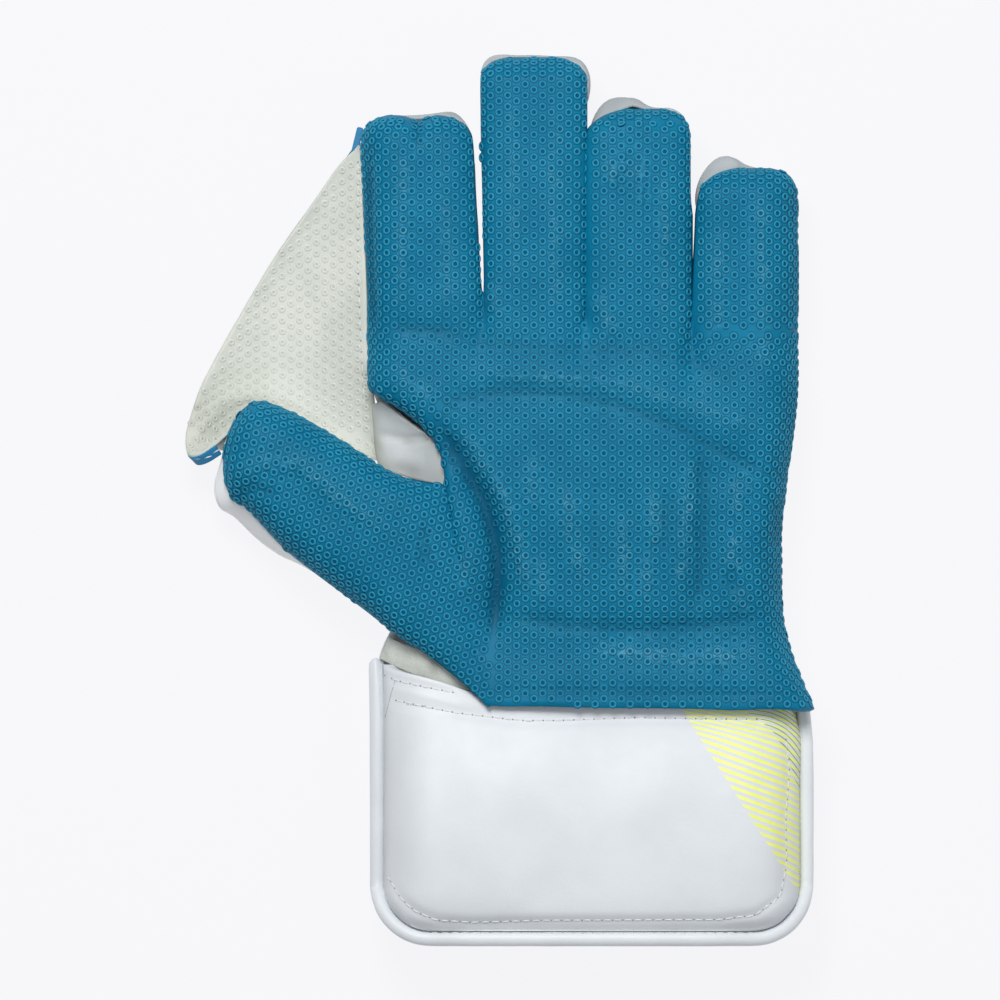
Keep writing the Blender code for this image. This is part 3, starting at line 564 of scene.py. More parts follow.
def painted_sheen_share(points):
    """Painted sheen: how much the rubber is painted pale on its ridges, where the light's sheen falls."""
    raised = fold_height(points[:, 0], points[:, 1], [fold for fold in RUBBER_FOLDS if fold[2] > 0])
    patchy = raised * (0.95 + 1.1 * clouds(points, SHEEN_PATCHES, 2))
    return np.clip(patchy + FAINT_SHEEN * clouds(points, FAINT_SHEEN_SIZE, 4), 0.0, 1.0)


def crease_shade_share(points):
    """Painted shade in the creases: how deep in a crease the rubber is, which sets how dark it is painted."""
    creases = [fold for fold in RUBBER_FOLDS if fold[2] < 0]
    return np.clip(-fold_height(points[:, 0], points[:, 1], creases) / DEEPEST, 0.0, 1.0)


RUBBER_SHARES = {"painted_sheen": painted_sheen_share, "crease_shade": crease_shade_share}


def shade_and_soil_share(points):
    """How much the web, the gusset and the suede are darkened: painted shade with dirt in the bend at the web's root,
    at its thumb end and along the gusset's seam, and real dirt in smudges.
    """
    total = np.zeros(len(points))
    for path, reach, amount in SHADE_AND_SOILED:
        gap, _ = nearest(points[:, 0], points[:, 1], path)
        total += amount * np.exp(-((gap / reach) ** 2))
    return np.clip(total * (0.75 + 0.5 * clouds(points, SHADE_AND_SOIL_CLOUDS, 21)), 0.0, 1.0)


WEB_SHARES = {"shade_and_soil": shade_and_soil_share}


def surface_of(obj):
    return BVHTree.FromObject(obj, bpy.context.evaluated_depsgraph_get())


def heights(surface, xs, ys):
    """Points of a surface seen from straight above; nan where there is none."""
    found = np.full((len(xs), 3), np.nan)
    for n, (x, y) in enumerate(zip(xs, ys)):
        place = surface.ray_cast(Vector((x, y, ABOVE_ALL)) * MM, Vector((0.0, 0.0, -1.0)))[0]
        if place is not None:
            found[n] = np.array(place) / MM
    return found


class Wall:
    """The seen wall of a piece, which upright planes can cut into lines."""

    def __init__(self, obj):
        self.points, _ = points_and_normals(obj)
        seen = np.empty(len(obj.data.polygons), dtype=np.int32)
        obj.data.attributes["seen"].data.foreach_get("value", seen)
        quads = np.array([tuple(face.vertices) for face in obj.data.polygons if seen[face.index]])
        sides = np.sort(np.stack([quads, np.roll(quads, -1, axis=1)], axis=2), axis=2).reshape(-1, 2)
        self.edges, numbers, uses = np.unique(sides, axis=0, return_inverse=True, return_counts=True)
        self.faces = numbers.reshape(-1, 4)
        corners = self.points[quads]
        facing = np.cross(corners[:, 2] - corners[:, 0], corners[:, 3] - corners[:, 1])
        self.normals = np.zeros(self.points.shape)
        for side in range(4):
            np.add.at(self.normals, quads[:, side], facing)
        self.normals /= np.maximum(np.linalg.norm(self.normals, axis=1), 1e-9)[:, None]
        ends = self.points[self.edges[uses == 1]]
        spots = np.concatenate([ends[:, 0], ends.mean(axis=1)])
        self.border = KDTree(len(spots))
        for number, spot in enumerate(spots):
            self.border.insert(spot, number)
        self.border.balance()

    def to_border(self, place):
        return self.border.find(place)[2]

    def cut(self, turn, at):
        """The lines where the plane cuts the wall that stands this far along a direction in plan."""
        offset = self.points[:, 0] * math.cos(turn) + self.points[:, 1] * math.sin(turn) - at + 1e-7
        first, last = offset[self.edges[:, 0]], offset[self.edges[:, 1]]
        crossed = first * last < 0
        linked = {}
        for face in self.faces[crossed[self.faces].sum(axis=1) == 2]:
            one, other = face[crossed[face]]
            linked.setdefault(one, []).append(other)
            linked.setdefault(other, []).append(one)
        lines = []
        while linked:
            edge = next((edge for edge in linked if len(linked[edge]) == 1), next(iter(linked)))
            line = []
            while edge is not None:
                line.append(edge)
                onward = linked.pop(edge)
                edge = next((other for other in onward if other in linked), None)
            lines.append(self.line(np.array(line), first, last))
        return lines

    def line(self, numbers, first, last):
        share = (first[numbers] / (first[numbers] - last[numbers]))[:, None]
        start, end = self.edges[numbers, 0], self.edges[numbers, 1]
        return mix(self.points[start], self.points[end], share), mix(self.normals[start], self.normals[end], share)


def along(points, turn):
    return points[:, 0] * math.cos(turn) + points[:, 1] * math.sin(turn)


def lengths(points):
    return np.concatenate([[0.0], np.cumsum(np.linalg.norm(np.diff(points, axis=0), axis=1))])


def line_through(lines, turn, at):
    """The line that passes a distance along a direction, in rising order, and its length from there on."""
    for points, normals in lines:
        where = along(points, turn)
        if where[-1] < where[0]:
            points, normals, where = points[::-1], normals[::-1], where[::-1]
        if len(points) > 3 and where.min() < at < where.max():
            run = lengths(points)
            nearest_point = int(np.argmax(where > at))
            return points, normals, run - run[nearest_point] + where[nearest_point]
    return None


def row_places(steps):
    """Number and place of each row of rings, half a ring's step apart and counted from 0 in the middle."""
    rows = []
    for way in (1, -1):
        at, number = 0.0, 0
        while steps[0][0] < at < steps[-1][0]:
            rows.append((number, at))
            at += way * float(np.interp(at, *zip(*steps))) / 2
            number += way
    return rows


def measured(points, normals, turn, middle):
    """A line in rising order along a direction, and its length counted from the point nearest the middle."""
    where = along(points, turn)
    if where[-1] < where[0]:
        points, normals, where = points[::-1], normals[::-1], where[::-1]
    run = lengths(points)
    start = int(np.argmin(np.abs(where - middle)))
    return points, normals, run - run[start] + where[start]


def row_heights(wall, middle, anchor, turn):
    """Distance along the wall and level of each point up its middle line, continued straight past its ends."""
    up = turn + math.pi / 2
    profile, _, run = line_through(wall.cut(turn, middle), up, anchor)
    level = along(profile, up)
    return (np.concatenate([[run[0] - FAR], run, [run[-1] + FAR]]),
            np.concatenate([[level[0] - FAR], level, [level[-1] + FAR]]))


def ring_places(wall, field, anchor, turn=0.0, steps=RING_STEPS, keep=None):
    """Where the rings of one field stand on a wall, and which way they face."""
    places, facings = [], []
    low, high, left, right, middle = field
    up = turn + math.pi / 2
    run, levels = row_heights(wall, middle, anchor, turn)
    for number, at in row_places(steps):
        here = float(np.interp(at, run, levels))
        if not low <= here < high:
            continue
        for line in wall.cut(up, here):
            if len(line[0]) < 4:
                continue
            points, normals, across = measured(*line, turn, middle)
            for column in range(math.ceil(across[0] / COLUMN_STEP), math.floor(across[-1] / COLUMN_STEP) + 1):
                if (column + number) % 2:
                    continue
                place = [np.interp(column * COLUMN_STEP, across, points[:, axis]) for axis in range(3)]
                inside = left < place[0] * math.cos(turn) + place[1] * math.sin(turn) < right
                if inside and wall.to_border(place) > RING_TO_EDGE and (keep is None or keep(*place)):
                    places.append(place)
                    facings.append([np.interp(column * COLUMN_STEP, across, normals[:, axis]) for axis in range(3)])
    return places, facings


def thin_out(places, facings, clear):
    """Leaves out rings that would run into one already placed."""
    kept, cells = [], {}
    for n, place in enumerate(places):
        cell = tuple(int(value // clear) for value in place)
        near = [m for dx in (-1, 0, 1) for dy in (-1, 0, 1) for dz in (-1, 0, 1)
                for m in cells.get((cell[0] + dx, cell[1] + dy, cell[2] + dz), ())]
        if all(math.dist(place, places[m]) > clear for m in near):
            kept.append(n)
            cells.setdefault(cell, []).append(n)
    return np.array([places[n] for n in kept]), np.array([facings[n] for n in kept])


class Nodes:
    """A Geometry Nodes tree and its named inputs."""

    def __init__(self, name):
        self.tree = bpy.data.node_groups.new(name, "GeometryNodeTree")
        self.source = self.tree.nodes.new("NodeGroupInput")
        self.sink = self.tree.nodes.new("NodeGroupOutput")
        self.tree.interface.new_socket("Geometry", in_out="OUTPUT", socket_type="NodeSocketGeometry")
        self.names = {}

    def input(self, name, kind):
        socket = self.tree.interface.new_socket(name, in_out="INPUT", socket_type="NodeSocket" + kind)
        self.names[name] = socket.identifier
        return self.source.outputs[name]

    def add(self, kind, settings=None, inputs=None, output=0):
        node = self.tree.nodes.new(kind)
        for name, value in (settings or {}).items():
            setattr(node, name, value)
        for key, value in (inputs or {}).items():
            if isinstance(value, bpy.types.NodeSocket):
                self.tree.links.new(value, node.inputs[key])
            else:
                node.inputs[key].default_value = value
        return node.outputs[output]

    def maths(self, operation, first, second):
        return self.add("ShaderNodeMath", {"operation": operation}, {0: first, 1: second})

    def vector(self, **parts):
        return self.add("ShaderNodeCombineXYZ", None, parts)

    def moved(self, geometry, **changes):
        return self.add("GeometryNodeTransform", None, {"Geometry": geometry, **changes})

    def finished(self, geometry, material):
        return self.add("GeometryNodeSetMaterial", None, {"Geometry": geometry, "Material": material})

    def end_with(self, pieces, points, rotation):
        """Ends the tree with these pieces on every point, as one plain mesh."""
        join = self.tree.nodes.new("GeometryNodeJoinGeometry")
        for piece in pieces:
            self.tree.links.new(piece, join.inputs[0])
        placed = self.add("GeometryNodeInstanceOnPoints", None,
                          {"Points": points, "Instance": join.outputs[0], "Rotation": rotation})
        mesh = self.add("GeometryNodeRealizeInstances", None, {"Geometry": placed})
        self.tree.links.new(mesh, self.sink.inputs[0])

    def run(self, obj, **values):
        """Runs the tree on an object with these input values and keeps the mesh that it makes."""
        modifier = obj.modifiers.new("made", "NODES")
        modifier.node_group = self.tree
        for name, value in values.items():
            modifier[self.names[name.replace("_", " ")]] = value
        bake_modifiers(obj)
        return obj


def ring_tree():
    """A moulded ring on every point, facing the way that the point says, with a dark floor in its hole and a disc
    round it, both painted shade.
    """
    nodes = Nodes("moulded_rings")
    points = nodes.input("Points", "Geometry")
    radius, band, height, around = (nodes.input(name, "Float") for name in ("Radius", "Band", "Height",
                                                                            "Groove Radius"))
    rubber, floor, groove = (nodes.input(name, "Material") for name in ("Ring", "Floor", "Groove"))
    half = nodes.maths("MULTIPLY", band, 0.5)
    middle = nodes.maths("SUBTRACT", radius, half)
    circle = nodes.add("GeometryNodeCurvePrimitiveCircle", None, {"Resolution": RING_SIDES, "Radius": middle})
    arc = nodes.add("GeometryNodeCurveArc", None, {"Resolution": RING_ARC, "Radius": half, "Start Angle": math.pi,
                                                   "Sweep Angle": math.pi})
    ring = nodes.add("GeometryNodeCurveToMesh", None, {"Curve": circle, "Profile Curve": arc})
    ring = nodes.moved(ring, Scale=nodes.vector(X=1.0, Y=1.0, Z=nodes.maths("DIVIDE", height, half)))
    ring = nodes.add("GeometryNodeSetShadeSmooth", None, {"Geometry": ring})
    discs = []
    for sides, size, lift, material in ((RING_SIDES, around, GROOVE_LIFT, groove),
                                        (HOLE_SIDES, nodes.maths("SUBTRACT", radius, band), HOLE_LIFT, floor)):
        disc = nodes.add("GeometryNodeMeshCircle", {"fill_type": "NGON"}, {"Vertices": sides, "Radius": size})
        disc = nodes.moved(disc, Translation=nodes.vector(Z=nodes.maths("MULTIPLY", height, lift)))
        discs.append(nodes.finished(disc, material))
    facing = nodes.add("GeometryNodeInputNamedAttribute", {"data_type": "FLOAT_VECTOR"}, {"Name": "facing"})
    turned = nodes.add("FunctionNodeAlignRotationToVector", {"axis": "Z"}, {"Vector": facing})
    nodes.end_with([*discs, nodes.finished(ring, rubber)], points, turned)
    return nodes


def stitch_tree():
    """Stitches end to end along a path, each a short rounded thread with a needle hole at its start."""
    nodes = Nodes("stitches")
    path = nodes.input("Path", "Geometry")
    step, length, thread, opening = (nodes.input(name, "Float") for name in ("Step", "Length", "Thread", "Hole"))
    material, dark = (nodes.input(name, "Material") for name in ("Material", "Dark"))
    curve = nodes.add("GeometryNodeMeshToCurve", None, {"Mesh": path})
    curve = nodes.add("GeometryNodeResampleCurve", {"mode": "LENGTH"}, {"Curve": curve, "Length": step})
    tangent = nodes.add("GeometryNodeInputTangent")
    turned = nodes.add("FunctionNodeAlignRotationToVector", {"axis": "X"}, {"Vector": tangent})
    size = nodes.vector(X=nodes.maths("MULTIPLY", length, 0.5), Y=thread, Z=thread)
    onward = nodes.vector(X=nodes.maths("MULTIPLY", step, 0.5))
    ball = nodes.add("GeometryNodeMeshUVSphere", None, {"Segments": 8, "Rings": 6, "Radius": 1.0})
    ball = nodes.moved(nodes.moved(ball, Rotation=(0.0, math.pi / 2, 0.0)), Scale=size, Translation=onward)
    hole_size = nodes.vector(X=opening, Y=opening, Z=nodes.maths("MULTIPLY", opening, 0.5))
    hole = nodes.add("GeometryNodeMeshUVSphere", None, {"Segments": 8, "Rings": 4, "Radius": 1.0})
    hole = nodes.moved(hole, Scale=hole_size)
    nodes.end_with([nodes.finished(ball, material), nodes.finished(hole, dark)], curve, turned)
    return nodes


def points_object(name, places, edges=()):
    mesh = bpy.data.meshes.new(name)
    mesh.from_pydata([tuple(value * MM for value in place) for place in places], edges, [])
    obj = bpy.data.objects.new(name, mesh)
    bpy.context.scene.collection.objects.link(obj)
    return obj


def rings(name, tree, places, facings, materials, sizes, shares):
    """One piece of moulded rings, each a band round a hole, on a ground of the last material; the holes' floors and
    the grounds are painted shade.
    """
    obj = points_object(name, places)
    layer = obj.data.attributes.new("facing", "FLOAT_VECTOR", "POINT")
    layer.data.foreach_set("vector", facings.astype(np.float32).ravel())
    for attribute, share in shares.items():
        add_attribute(obj, attribute, share(places))
    radius, band, height, groove = sizes
    tree.run(obj, Radius=radius * MM, Band=band * MM, Height=height * MM, Groove_Radius=groove * MM,
             Ring=materials[0], Floor=materials[1], Groove=materials[2])
    return finish_piece(obj, None)


def rubber_rings(tree, wall, materials):
    """The rings of the palm, of the four fingers and of the thumb."""
    sizes = (RING_RADIUS, RING_BAND, RING_HEIGHT, GROOVE_RADIUS)
    places, facings = ring_places(wall, THUMB_FIELD, THUMB_ANCHOR, THUMB_TURN, THUMB_RING_STEPS, thumb_side)
    for field in FIELDS:
        found = ring_places(wall, field, FINGERS_FROM, keep=hand_side)
        places += found[0]
        facings += found[1]
    places, facings = thin_out(places, facings, RING_CLEAR)
    thumb = np.array([thumb_side(*place) for place in places])
    fingers = places[:, 1] > FINGERS_FROM
    for name, chosen in (("palm_rings", ~fingers & ~thumb), ("finger_rings", fingers), ("thumb_rings", thumb)):
        rings(name, tree, places[chosen], facings[chosen], materials, sizes, RUBBER_SHARES)


def crease_x(y):
    """Where the crease between palm and thumb runs."""
    path = RUBBER_FOLDS[0][0]
    ys = [-75.0, *[py for _, py in reversed(path)]]
    xs = [-4.0, *[px for px, _ in reversed(path)]]
    return float(np.interp(y, ys, xs))


def hand_side(x, y, z):
    return y > 20.0 or x > crease_x(y) + CREASE_MARGIN


def thumb_side(x, y, z):
    return y < 36.0 and x < crease_x(y) - CREASE_MARGIN


def plain_rubber(name, pale, deep):
    """Natural rubber: teal, a little uneven, with a painted sheen on its ridges and painted shade in its creases."""
    paint = Paint(name, 0.5, Specular_IOR_Level=RUBBER_SHINE)
    patches = paint.noise(14.0, 3.0)
    colour = paint.blend(patches.ramp(0.3, 0.7), deep, pale)
    painted_sheen = paint.attribute("painted_sheen") * paint.noise(1.6, 2.0).ramp(0.35, 0.75)
    # painted sheen: pale where the light glints on the ridges
    colour = paint.blend(painted_sheen * 0.6, colour, (0.13, 0.37, 0.49))
    # painted shade: the rubber is painted darker deep in its creases
    colour = paint.blend(paint.attribute("crease_shade") * CREASE_PAINTED_SHADE, colour, (0.0, 0.05, 0.11))
    paint.set(Base_Color=colour, Roughness=0.42 + 0.16 * paint.noise(5.0))
    paint.bump(paint.noise(0.5, 3.0), 0.06)
    return paint.material


def leather_paint(name, light, shade, roughness):
    """Coated leather with a fine grain and faint scuffs."""
    paint = Paint(name, roughness)
    colour = paint.blend(paint.noise(26.0, 3.0).ramp(0.3, 0.7), shade, light)
    scuffs = paint.noise(3.0, 4.0, 0.7, (1.0, 0.25, 1.0)).ramp(0.66, 0.80)
    paint.colour = paint.blend(scuffs * 0.2, colour, (0.52, 0.53, 0.50))
    paint.set(Base_Color=paint.colour, Roughness=roughness + 0.14 * paint.noise(4.0))
    paint.bump(paint.cells(0.9) * 0.6 + paint.noise(0.35, 2.0) * 0.4, 0.05)
    return paint


def leather(name, light, shade, roughness=0.42, shade_and_soiled=None):
    paint = leather_paint(name, light, shade, roughness)
    if shade_and_soiled is not None:
        # painted shade and dirt: the mask darkens the gusset along its seam and in its smudges
        paint.set(Base_Color=paint.blend(paint.attribute("shade_and_soil") * shade_and_soiled, paint.colour, (0.24, 0.25, 0.19)))
    return paint.material


def printed_leather(name):
    """The cuff's leather with its plain hatch: a wedge of lime stripes, and thin teal lines at its corner."""
    paint = leather_paint(name, (0.68, 0.71, 0.74), (0.63, 0.66, 0.69), 0.42)
    x, y = paint.place("X"), paint.place("Y")
    beyond = (x - HATCH_BEND).maths("MAXIMUM", 0.0)
    closer = (y - CLOSER_ABOVE).maths("MAXIMUM", 0.0)
    level = y + HATCH_PHASE + CLOSER * closer * closer
    stripe = (level + HATCH_SLOPE * (x - beyond) + HATCH_STEEP * beyond) % HATCH_STEP
    stripe = stripe.ramp(STRIPE + 0.15, STRIPE - 0.15) * stripe.ramp(0.0, 0.2)
    wedge = (x + WEDGE_SLOPE * (y - WEDGE_TOP)).ramp(WEDGE_LEFT - 0.5, WEDGE_LEFT + 0.5)
    print_colour = paint.blend(paint.noise(4.0).ramp(0.3, 0.7), (0.80, 0.86, 0.10), (0.84, 0.88, 0.20))
    colour = paint.blend(stripe * wedge * 0.92, paint.colour, print_colour)
    past = (x - LINE_BEND).maths("MAXIMUM", 0.0)
    line = (level + LINE_SLOPE * x + LINE_CURVE * past * past) % HATCH_STEP
    sides = [(x + slope * y).ramp(least - 0.3, least + 0.3) for slope, least in LINES_EDGES]
    corner = sides[0].maths("MAXIMUM", sides[1]).maths("MAXIMUM", sides[2])
    line = line.ramp(LINE + 0.1, LINE - 0.1) * corner
    paint.set(Base_Color=paint.blend(line * 0.85, colour, (0.01, 0.13, 0.22)))
    return paint.material


def web_leather(name, shade, shade_and_soiled):
    """Cream leather of the web, darkened by this factor as painted shade in its rings' holes and round its rings,
    with dirt and painted shade where the web bends.
    """
    paint = Paint(name, 0.62)
    pale, deep = ([shade * value for value in colour] for colour in ((0.64, 0.66, 0.605), (0.575, 0.60, 0.54)))
    colour = paint.blend(paint.noise(18.0, 3.0).ramp(0.3, 0.7), deep, pale)
    colour = paint.blend(paint.attribute("shade_and_soil") * shade_and_soiled, colour, (0.21, 0.215, 0.165))
    paint.set(Base_Color=colour, Roughness=0.58 + 0.15 * paint.noise(5.0))
    paint.bump(paint.noise(0.5, 3.0), 0.08)
    return paint.material


def suede_leather(name):
    paint = Paint(name, 0.9)
    colour = paint.blend(paint.noise(7.0, 4.0).ramp(0.3, 0.7), (0.60, 0.63, 0.58), (0.74, 0.77, 0.72))
    colour = paint.blend(paint.noise(0.5, 3.0).ramp(0.3, 0.7) * 0.3, colour, (0.40, 0.42, 0.37))
    colour = paint.blend(paint.attribute("shade_and_soil") * 0.8, colour, (0.17, 0.18, 0.15))
    paint.set(Base_Color=colour)
    paint.bump(paint.noise(0.25, 3.0), 0.25)
    return paint.material


def tape_cloth(name):
    """Woven blue tape; its white stitches are a piece of their own."""
    paint = Paint(name, 0.6)
    weave = paint.noise(0.5, 1.0)
    paint.set(Base_Color=paint.blend(weave, (0.006, 0.15, 0.33), (0.012, 0.22, 0.43)))
    paint.bump(weave, 0.1)
    return paint.material


def plain(name, colour, roughness, gloss=0.1):
    paint = Paint(name, roughness, Specular_IOR_Level=gloss)
    paint.set(Base_Color=paint.blend(paint.noise(3.0), [0.85 * value for value in colour], colour))
    return paint.material


def soften(obj, passes):
    """Evens out the small corners of a piece."""
    bm = bmesh.new()
    bm.from_mesh(obj.data)
    for _ in range(passes):
        bmesh.ops.smooth_vert(bm, verts=bm.verts, factor=0.5, use_axis_x=True, use_axis_y=True, use_axis_z=True)
    bm.to_mesh(obj.data)
    bm.free()


def piping(node, seed):
    obj = skin(node, sharp=math.pi)
    soften(obj, PIPING_PASSES)
    points, normals = points_and_normals(obj)
    for top, share, left, right in PIPING_ENDS:
        end = (points[:, 1] > top) & (points[:, 0] > left) & (points[:, 0] < right)
        points[end, 1] = mix(top, points[end, 1], share)
    points = pushed(points, PIPING_PUSH)
    wave, size = PIPING_WAVE
    move_points(obj, points + normals * (PIPING_SPARE + wave * clouds(points, size, seed))[:, None])
    return obj


def tape_end(surface, material):
    """The end of the web's tape, which sticks out at the web's top corner."""
    (x0, y0), (x1, y1) = TAPE_END
    level = np.nanmax(heights(surface, *WEB_CORNER)[:, 2]) - TAPE_END_BELOW
    along_x, along_y = (x1 - x0) / 2, (y1 - y0) / 2
    half = TAPE_END_WIDTH / 2 / math.hypot(along_x, along_y)
    bm = bmesh.new()
    bmesh.ops.create_cube(bm, size=2.0)
    for corner in bm.verts:
        u, v, w = corner.co
        corner.co = Vector((mix(x0, x1, 0.5) + along_x * v + along_y * half * u,
                            mix(y0, y1, 0.5) + along_y * v - along_x * half * u,
                            level + TAPE_END_THICKNESS / 2 * w)) * MM
    bmesh.ops.bevel(bm, geom=bm.edges, offset=TAPE_END_ROUNDING * MM, segments=3, affect="EDGES")
    mesh = bpy.data.meshes.new("web_tape_end")
    bm.to_mesh(mesh)
    bm.free()
    obj = bpy.data.objects.new(mesh.name, mesh)
    bpy.context.scene.collection.objects.link(obj)
    finish_piece(obj, material)


def leather_piece(node, dents, seed):
    """A leather or suede piece: the CAD solid rounded off, with soft dents."""
    amount, size = dents
    obj = skin(node)
    points, normals = points_and_normals(obj)
    points += normals * (amount * clouds(points, size, seed))[:, None]
    points[:, 2] = np.maximum(points[:, 2], 0.0)
    move_points(obj, points)
    return obj


def cuff_pad(node, channels, seed, material):
    """A padded cuff panel with its stitched channels pulled in."""
    obj = skin(node, PAD_LEVELS)
    points, normals = points_and_normals(obj)
    level = ease((np.abs(normals[:, 2]) - 0.2) / 0.5)
    press = np.zeros(len(points))
    for path in channels:
        gap, _ = nearest(points[:, 0], points[:, 1], path)
        press += np.exp(-((gap / CHANNEL_WIDTH) ** 2))
    swell = clouds(points * (1.0, 1.0, 0.3), PAD_SWELL_SIZE, seed) * PAD_SWELL
    gutter = np.exp(-(((points[:, 1] - GUTTER_Y) / GUTTER_REACH) ** 2)) * GUTTER_DEPTH if channels else 0.0
    points[:, 2] += level * (swell - CHANNEL_DEPTH * press - gutter)
    points[:, 2] = np.maximum(points[:, 2], 0.0)
    sides = points[:, 0].min(), points[:, 0].max()
    for side, way in zip(sides, (-1, 1)):
        points[:, 0] += way * RIM_SPREAD * ease(1 - np.abs(points[:, 0] - side) / RIM_REACH)
    move_points(obj, points)
    finish_piece(obj, material)
    return obj


def stitching(name, tree, surface, path, materials, slot="white_leather", step=STITCH_STEP, length=STITCH_LENGTH,
              thread=THREAD, hole=NEEDLE_HOLE):
    """A row of stitches with their needle holes, lying on a surface along a path in plan."""
    spots = []
    for (x0, y0), (x1, y1) in zip(path, path[1:]):
        count = max(int(math.hypot(x1 - x0, y1 - y0) / PATH_STEP), 1)
        spots += [(mix(x0, x1, n / count), mix(y0, y1, n / count)) for n in range(count)]
    spots.append(path[-1])
    points = heights(surface, [x for x, _ in spots], [y for _, y in spots])
    points = points[~np.isnan(points[:, 0])]
    obj = points_object(name, points, [(n, n + 1) for n in range(len(points) - 1)])
    tree.run(obj, Step=step * MM, Length=length * MM, Thread=thread * MM, Hole=hole * MM,
             Material=materials[0], Dark=materials[1])
    return finish_piece(obj, None)


def light(name, place, size, power):
    data = bpy.data.lights.new(name, "AREA")
    data.size = size * MM
    data.energy = power
    obj = bpy.data.objects.new(name, data)
    obj.location = Vector(place) * MM
    obj.rotation_euler = (-Vector(place)).to_track_quat("-Z", "Y").to_euler()
    bpy.context.scene.collection.objects.link(obj)


def stage():
    """Pale floor and soft light."""
    bm = bmesh.new()
    bmesh.ops.create_grid(bm, x_segments=1, y_segments=1, size=FLOOR_SIZE)
    mesh = bpy.data.meshes.new("studio_floor")
    bm.to_mesh(mesh)
    bm.free()
    floor = bpy.data.objects.new("studio_floor", mesh)
    bpy.context.scene.collection.objects.link(floor)
    floor.location.z = -FLOOR_DEPTH * MM
    paint = Paint("pale_floor", 0.9, Emission_Strength=FLOOR_GLOW, Specular_IOR_Level=0.0)
    paint.set(Base_Color=(0.05, 0.05, 0.05, 1.0), Emission_Color=(0.955, 0.957, 0.983, 1.0))
    mesh.materials.append(paint.material)
    world = bpy.data.worlds.new("studio")
    world.use_nodes = True
    world.node_tree.nodes["Background"].inputs["Color"].default_value = (0.96, 0.98, 1.0, 1.0)
    world.node_tree.nodes["Background"].inputs["Strength"].default_value = SURROUND
    bpy.context.scene.world = world
    light("overhead_softbox", (-160.0, 560.0, 1080.0), 420.0, OVERHEAD_POWER)
    light("side_softbox", (700.0, -250.0, 800.0), 700.0, SIDE_POWER)
    bpy.context.scene.view_settings.view_transform = "Standard"


def camera():
    data = bpy.data.cameras.new("camera")
    data.sensor_width = SENSOR
    data.lens = SENSOR * CAMERA_DISTANCE / VIEW_WIDTH
    data.clip_start = 0.05
    data.clip_end = 20.0
    obj = bpy.data.objects.new("camera", data)
    obj.location = Vector((*VIEW_CENTRE, VIEW_HEIGHT + CAMERA_DISTANCE)) * MM
    bpy.context.scene.collection.objects.link(obj)
    bpy.context.scene.camera = obj


def hand(tree):
    """The rubber over palm, fingers and thumb, with its rings."""
    base = plain_rubber("teal_rubber_base", (0.002, 0.170, 0.305), (0.001, 0.140, 0.260))
    # painted light: the raised rings are a lighter copy of the base rubber, for the light that falls on their tops
    ring = plain_rubber("teal_rubber_ring_painted_light", (0.019, 0.250, 0.395), (0.011, 0.215, 0.355))
    # painted shade: dark floors in the rings' holes and a darker ground round each ring
    floor = plain("ring_floor_painted_shade", (0.001, 0.080, 0.165), 0.7)
    groove = plain("ring_groove_painted_shade", (0.001, 0.108, 0.208), 0.6)
    face = rubber_face()
    wall = Wall(face)
    finish_piece(face, base)
    rubber_rings(tree, wall, (ring, floor, groove))


def catching_web(tree, sewing, threads):
    """The web with its rings and root seam, and the tape along its free edge."""
    cream = web_leather("cream_web_leather", 1.0, 0.35)
    # painted shade: the web's ring floors and grounds are darker copies of its cream leather
    floor = web_leather("web_ring_floor", 0.80, 0.8)
    groove = web_leather("web_ring_groove", 0.90, 0.85)
    web = skin("web")
    move_points(web, pushed(points_and_normals(web)[0], WEB_PUSH))
    wall = Wall(web)
    add_attribute(web, "shade_and_soil", shade_and_soil_share(wall.points))
    surface = surface_of(web)
    finish_piece(web, cream)
    places, facings = thin_out(*ring_places(wall, WEB_FIELD, WEB_ANCHOR), RING_CLEAR)
    sizes = (WEB_RING_RADIUS, WEB_RING_BAND, WEB_RING_HEIGHT, WEB_GROOVE_RADIUS)
    rings("web_rings", tree, places, facings, (cream, floor, groove), sizes, WEB_SHARES)
    stitching("web_root_stitches", sewing, surface, WEB_ROOT_STITCHING, threads, "cream_web", step=WEB_STITCH_STEP)

    blue = tape_cloth("blue_woven_tape")
    tape = skin("web_tape")
    points = points_and_normals(tape)[0]
    moved = pushed(points, TAPE_PUSH)
    moved[:, 2] += TAPE_LIFT * np.hypot(*(moved - points)[:, :2].T)
    move_points(tape, moved)
    tape_surface = surface_of(tape)
    finish_piece(tape, blue)
    tape_end(surface, blue)
    stitching("tape_stitches", sewing, tape_surface, TAPE_STITCHING, (threads[0], threads[0]), "blue_tape",
              **TAPE_STITCHES)


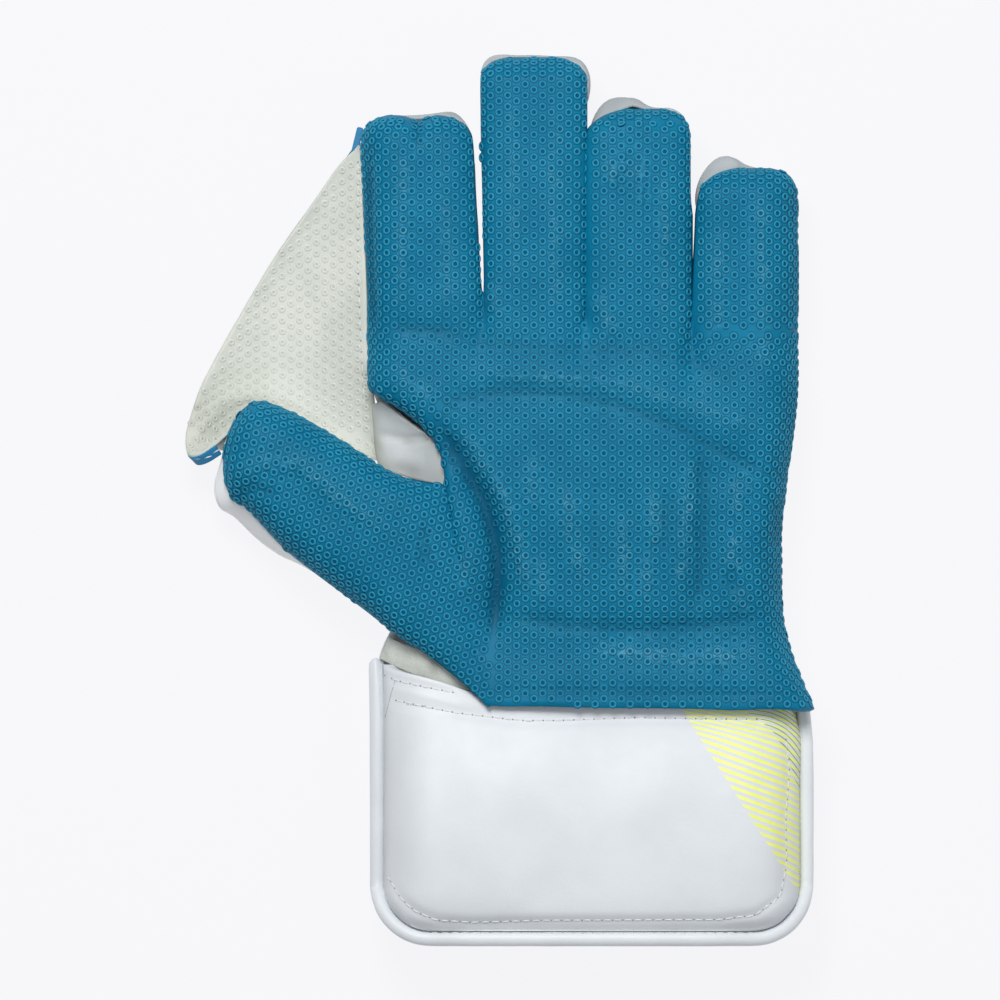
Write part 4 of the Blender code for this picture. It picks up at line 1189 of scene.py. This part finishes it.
def leathers(white):
    """The back, the caps, the thumb's roll, the crotch gusset and the suede, with their dents and dirt; the caps
    carry painted shade, the thumb's leather painted light and the gusset's seam painted shade.
    """
    # painted light: the thumb's leather is a lighter copy of the white leather, for the light on its sideways-facing
    # roll
    thumb = leather("thumb_leather_painted_light", (0.86, 0.88, 0.89), (0.80, 0.82, 0.83))
    # painted shade: the caps are white leather painted grey for the shade that they lie in
    painted_shade_grey = leather("painted_shade_greyed_leather", (0.46, 0.50, 0.515), (0.33, 0.365, 0.38), 0.55)
    gusset = leather("gusset_leather", (0.64, 0.67, 0.68), (0.54, 0.57, 0.565), 0.55, shade_and_soiled=0.8)
    hides = {"hand_back": white, "index_cap": painted_shade_grey, "middle_cap": painted_shade_grey, "ring_cap": painted_shade_grey, "little_cap": painted_shade_grey,
             "thumb_back": thumb, "thumb_cap": thumb, "crotch_gusset": gusset}
    for seed, (node, hide) in enumerate(hides.items(), 3):
        piece = leather_piece(node, LEATHER_DENTS, seed)
        if node in CAP_PUSH:
            soften(piece, CAP_PASSES)
        points, normals = points_and_normals(piece)
        if node == "crotch_gusset":
            points += outward(piece, normals) * fold_height(points[:, 0], points[:, 1], GUSSET_FOLDS)[:, None]
        pushes = CAP_PUSH.get(node, GUSSET_PUSH if node == "crotch_gusset" else THUMB_TIP_PUSH)
        move_points(piece, pushed(points, pushes))
        add_attribute(piece, "shade_and_soil", shade_and_soil_share(points))
        finish_piece(piece, hide)
    suede = leather_piece("wrist_gusset", SUEDE_DENTS, 12)
    add_attribute(suede, "shade_and_soil", shade_and_soil_share(points_and_normals(suede)[0]))
    finish_piece(suede, suede_leather("napped_suede"))


def cuff(sewing, threads, white):
    """The padded panels, their piping, the stitch rows, and the creases at the left."""
    panel = cuff_pad("cuff_front", CUFF_STITCHING.values(), 13, printed_leather("printed_white_leather"))
    cuff_pad("cuff_back", (), 14, white)
    front_piping = piping("cuff_piping", 15)
    finish_piece(front_piping, white)
    stitching("piping_stitches", sewing, surface_of(front_piping), PIPING_STITCHING, threads, hole=PIPING_HOLE)
    finish_piece(piping("cuff_back_piping", 15), white)
    surface = surface_of(panel)
    for name, path in CUFF_STITCHING.items():
        stitching(name + "_stitches", sewing, surface, path, threads)
    # painted shade: thin dark lines stand for the shade in the cuff's creases
    crease = plain("crease_line", (0.22, 0.23, 0.24), 0.8)
    for name, path in CREASES.items():
        stitching(name, sewing, surface, path, (crease, crease), step=CREASE_STEP, length=CREASE_STEP,
                  thread=CREASE_THREAD, hole=CREASE_THREAD)


def main():
    camera()
    stage()
    white = leather("white_leather_coated", (0.72, 0.75, 0.78), (0.67, 0.70, 0.73))
    # painted shade: the needle holes are dark discs for the shade inside them
    threads = (plain("white_thread", (0.74, 0.75, 0.76), 0.6), plain("needle_hole_painted_shade", (0.30, 0.31, 0.33), 0.9))
    tree, sewing = ring_tree(), stitch_tree()
    hand(tree)
    catching_web(tree, sewing, threads)
    leathers(white)
    cuff(sewing, threads, white)


main()
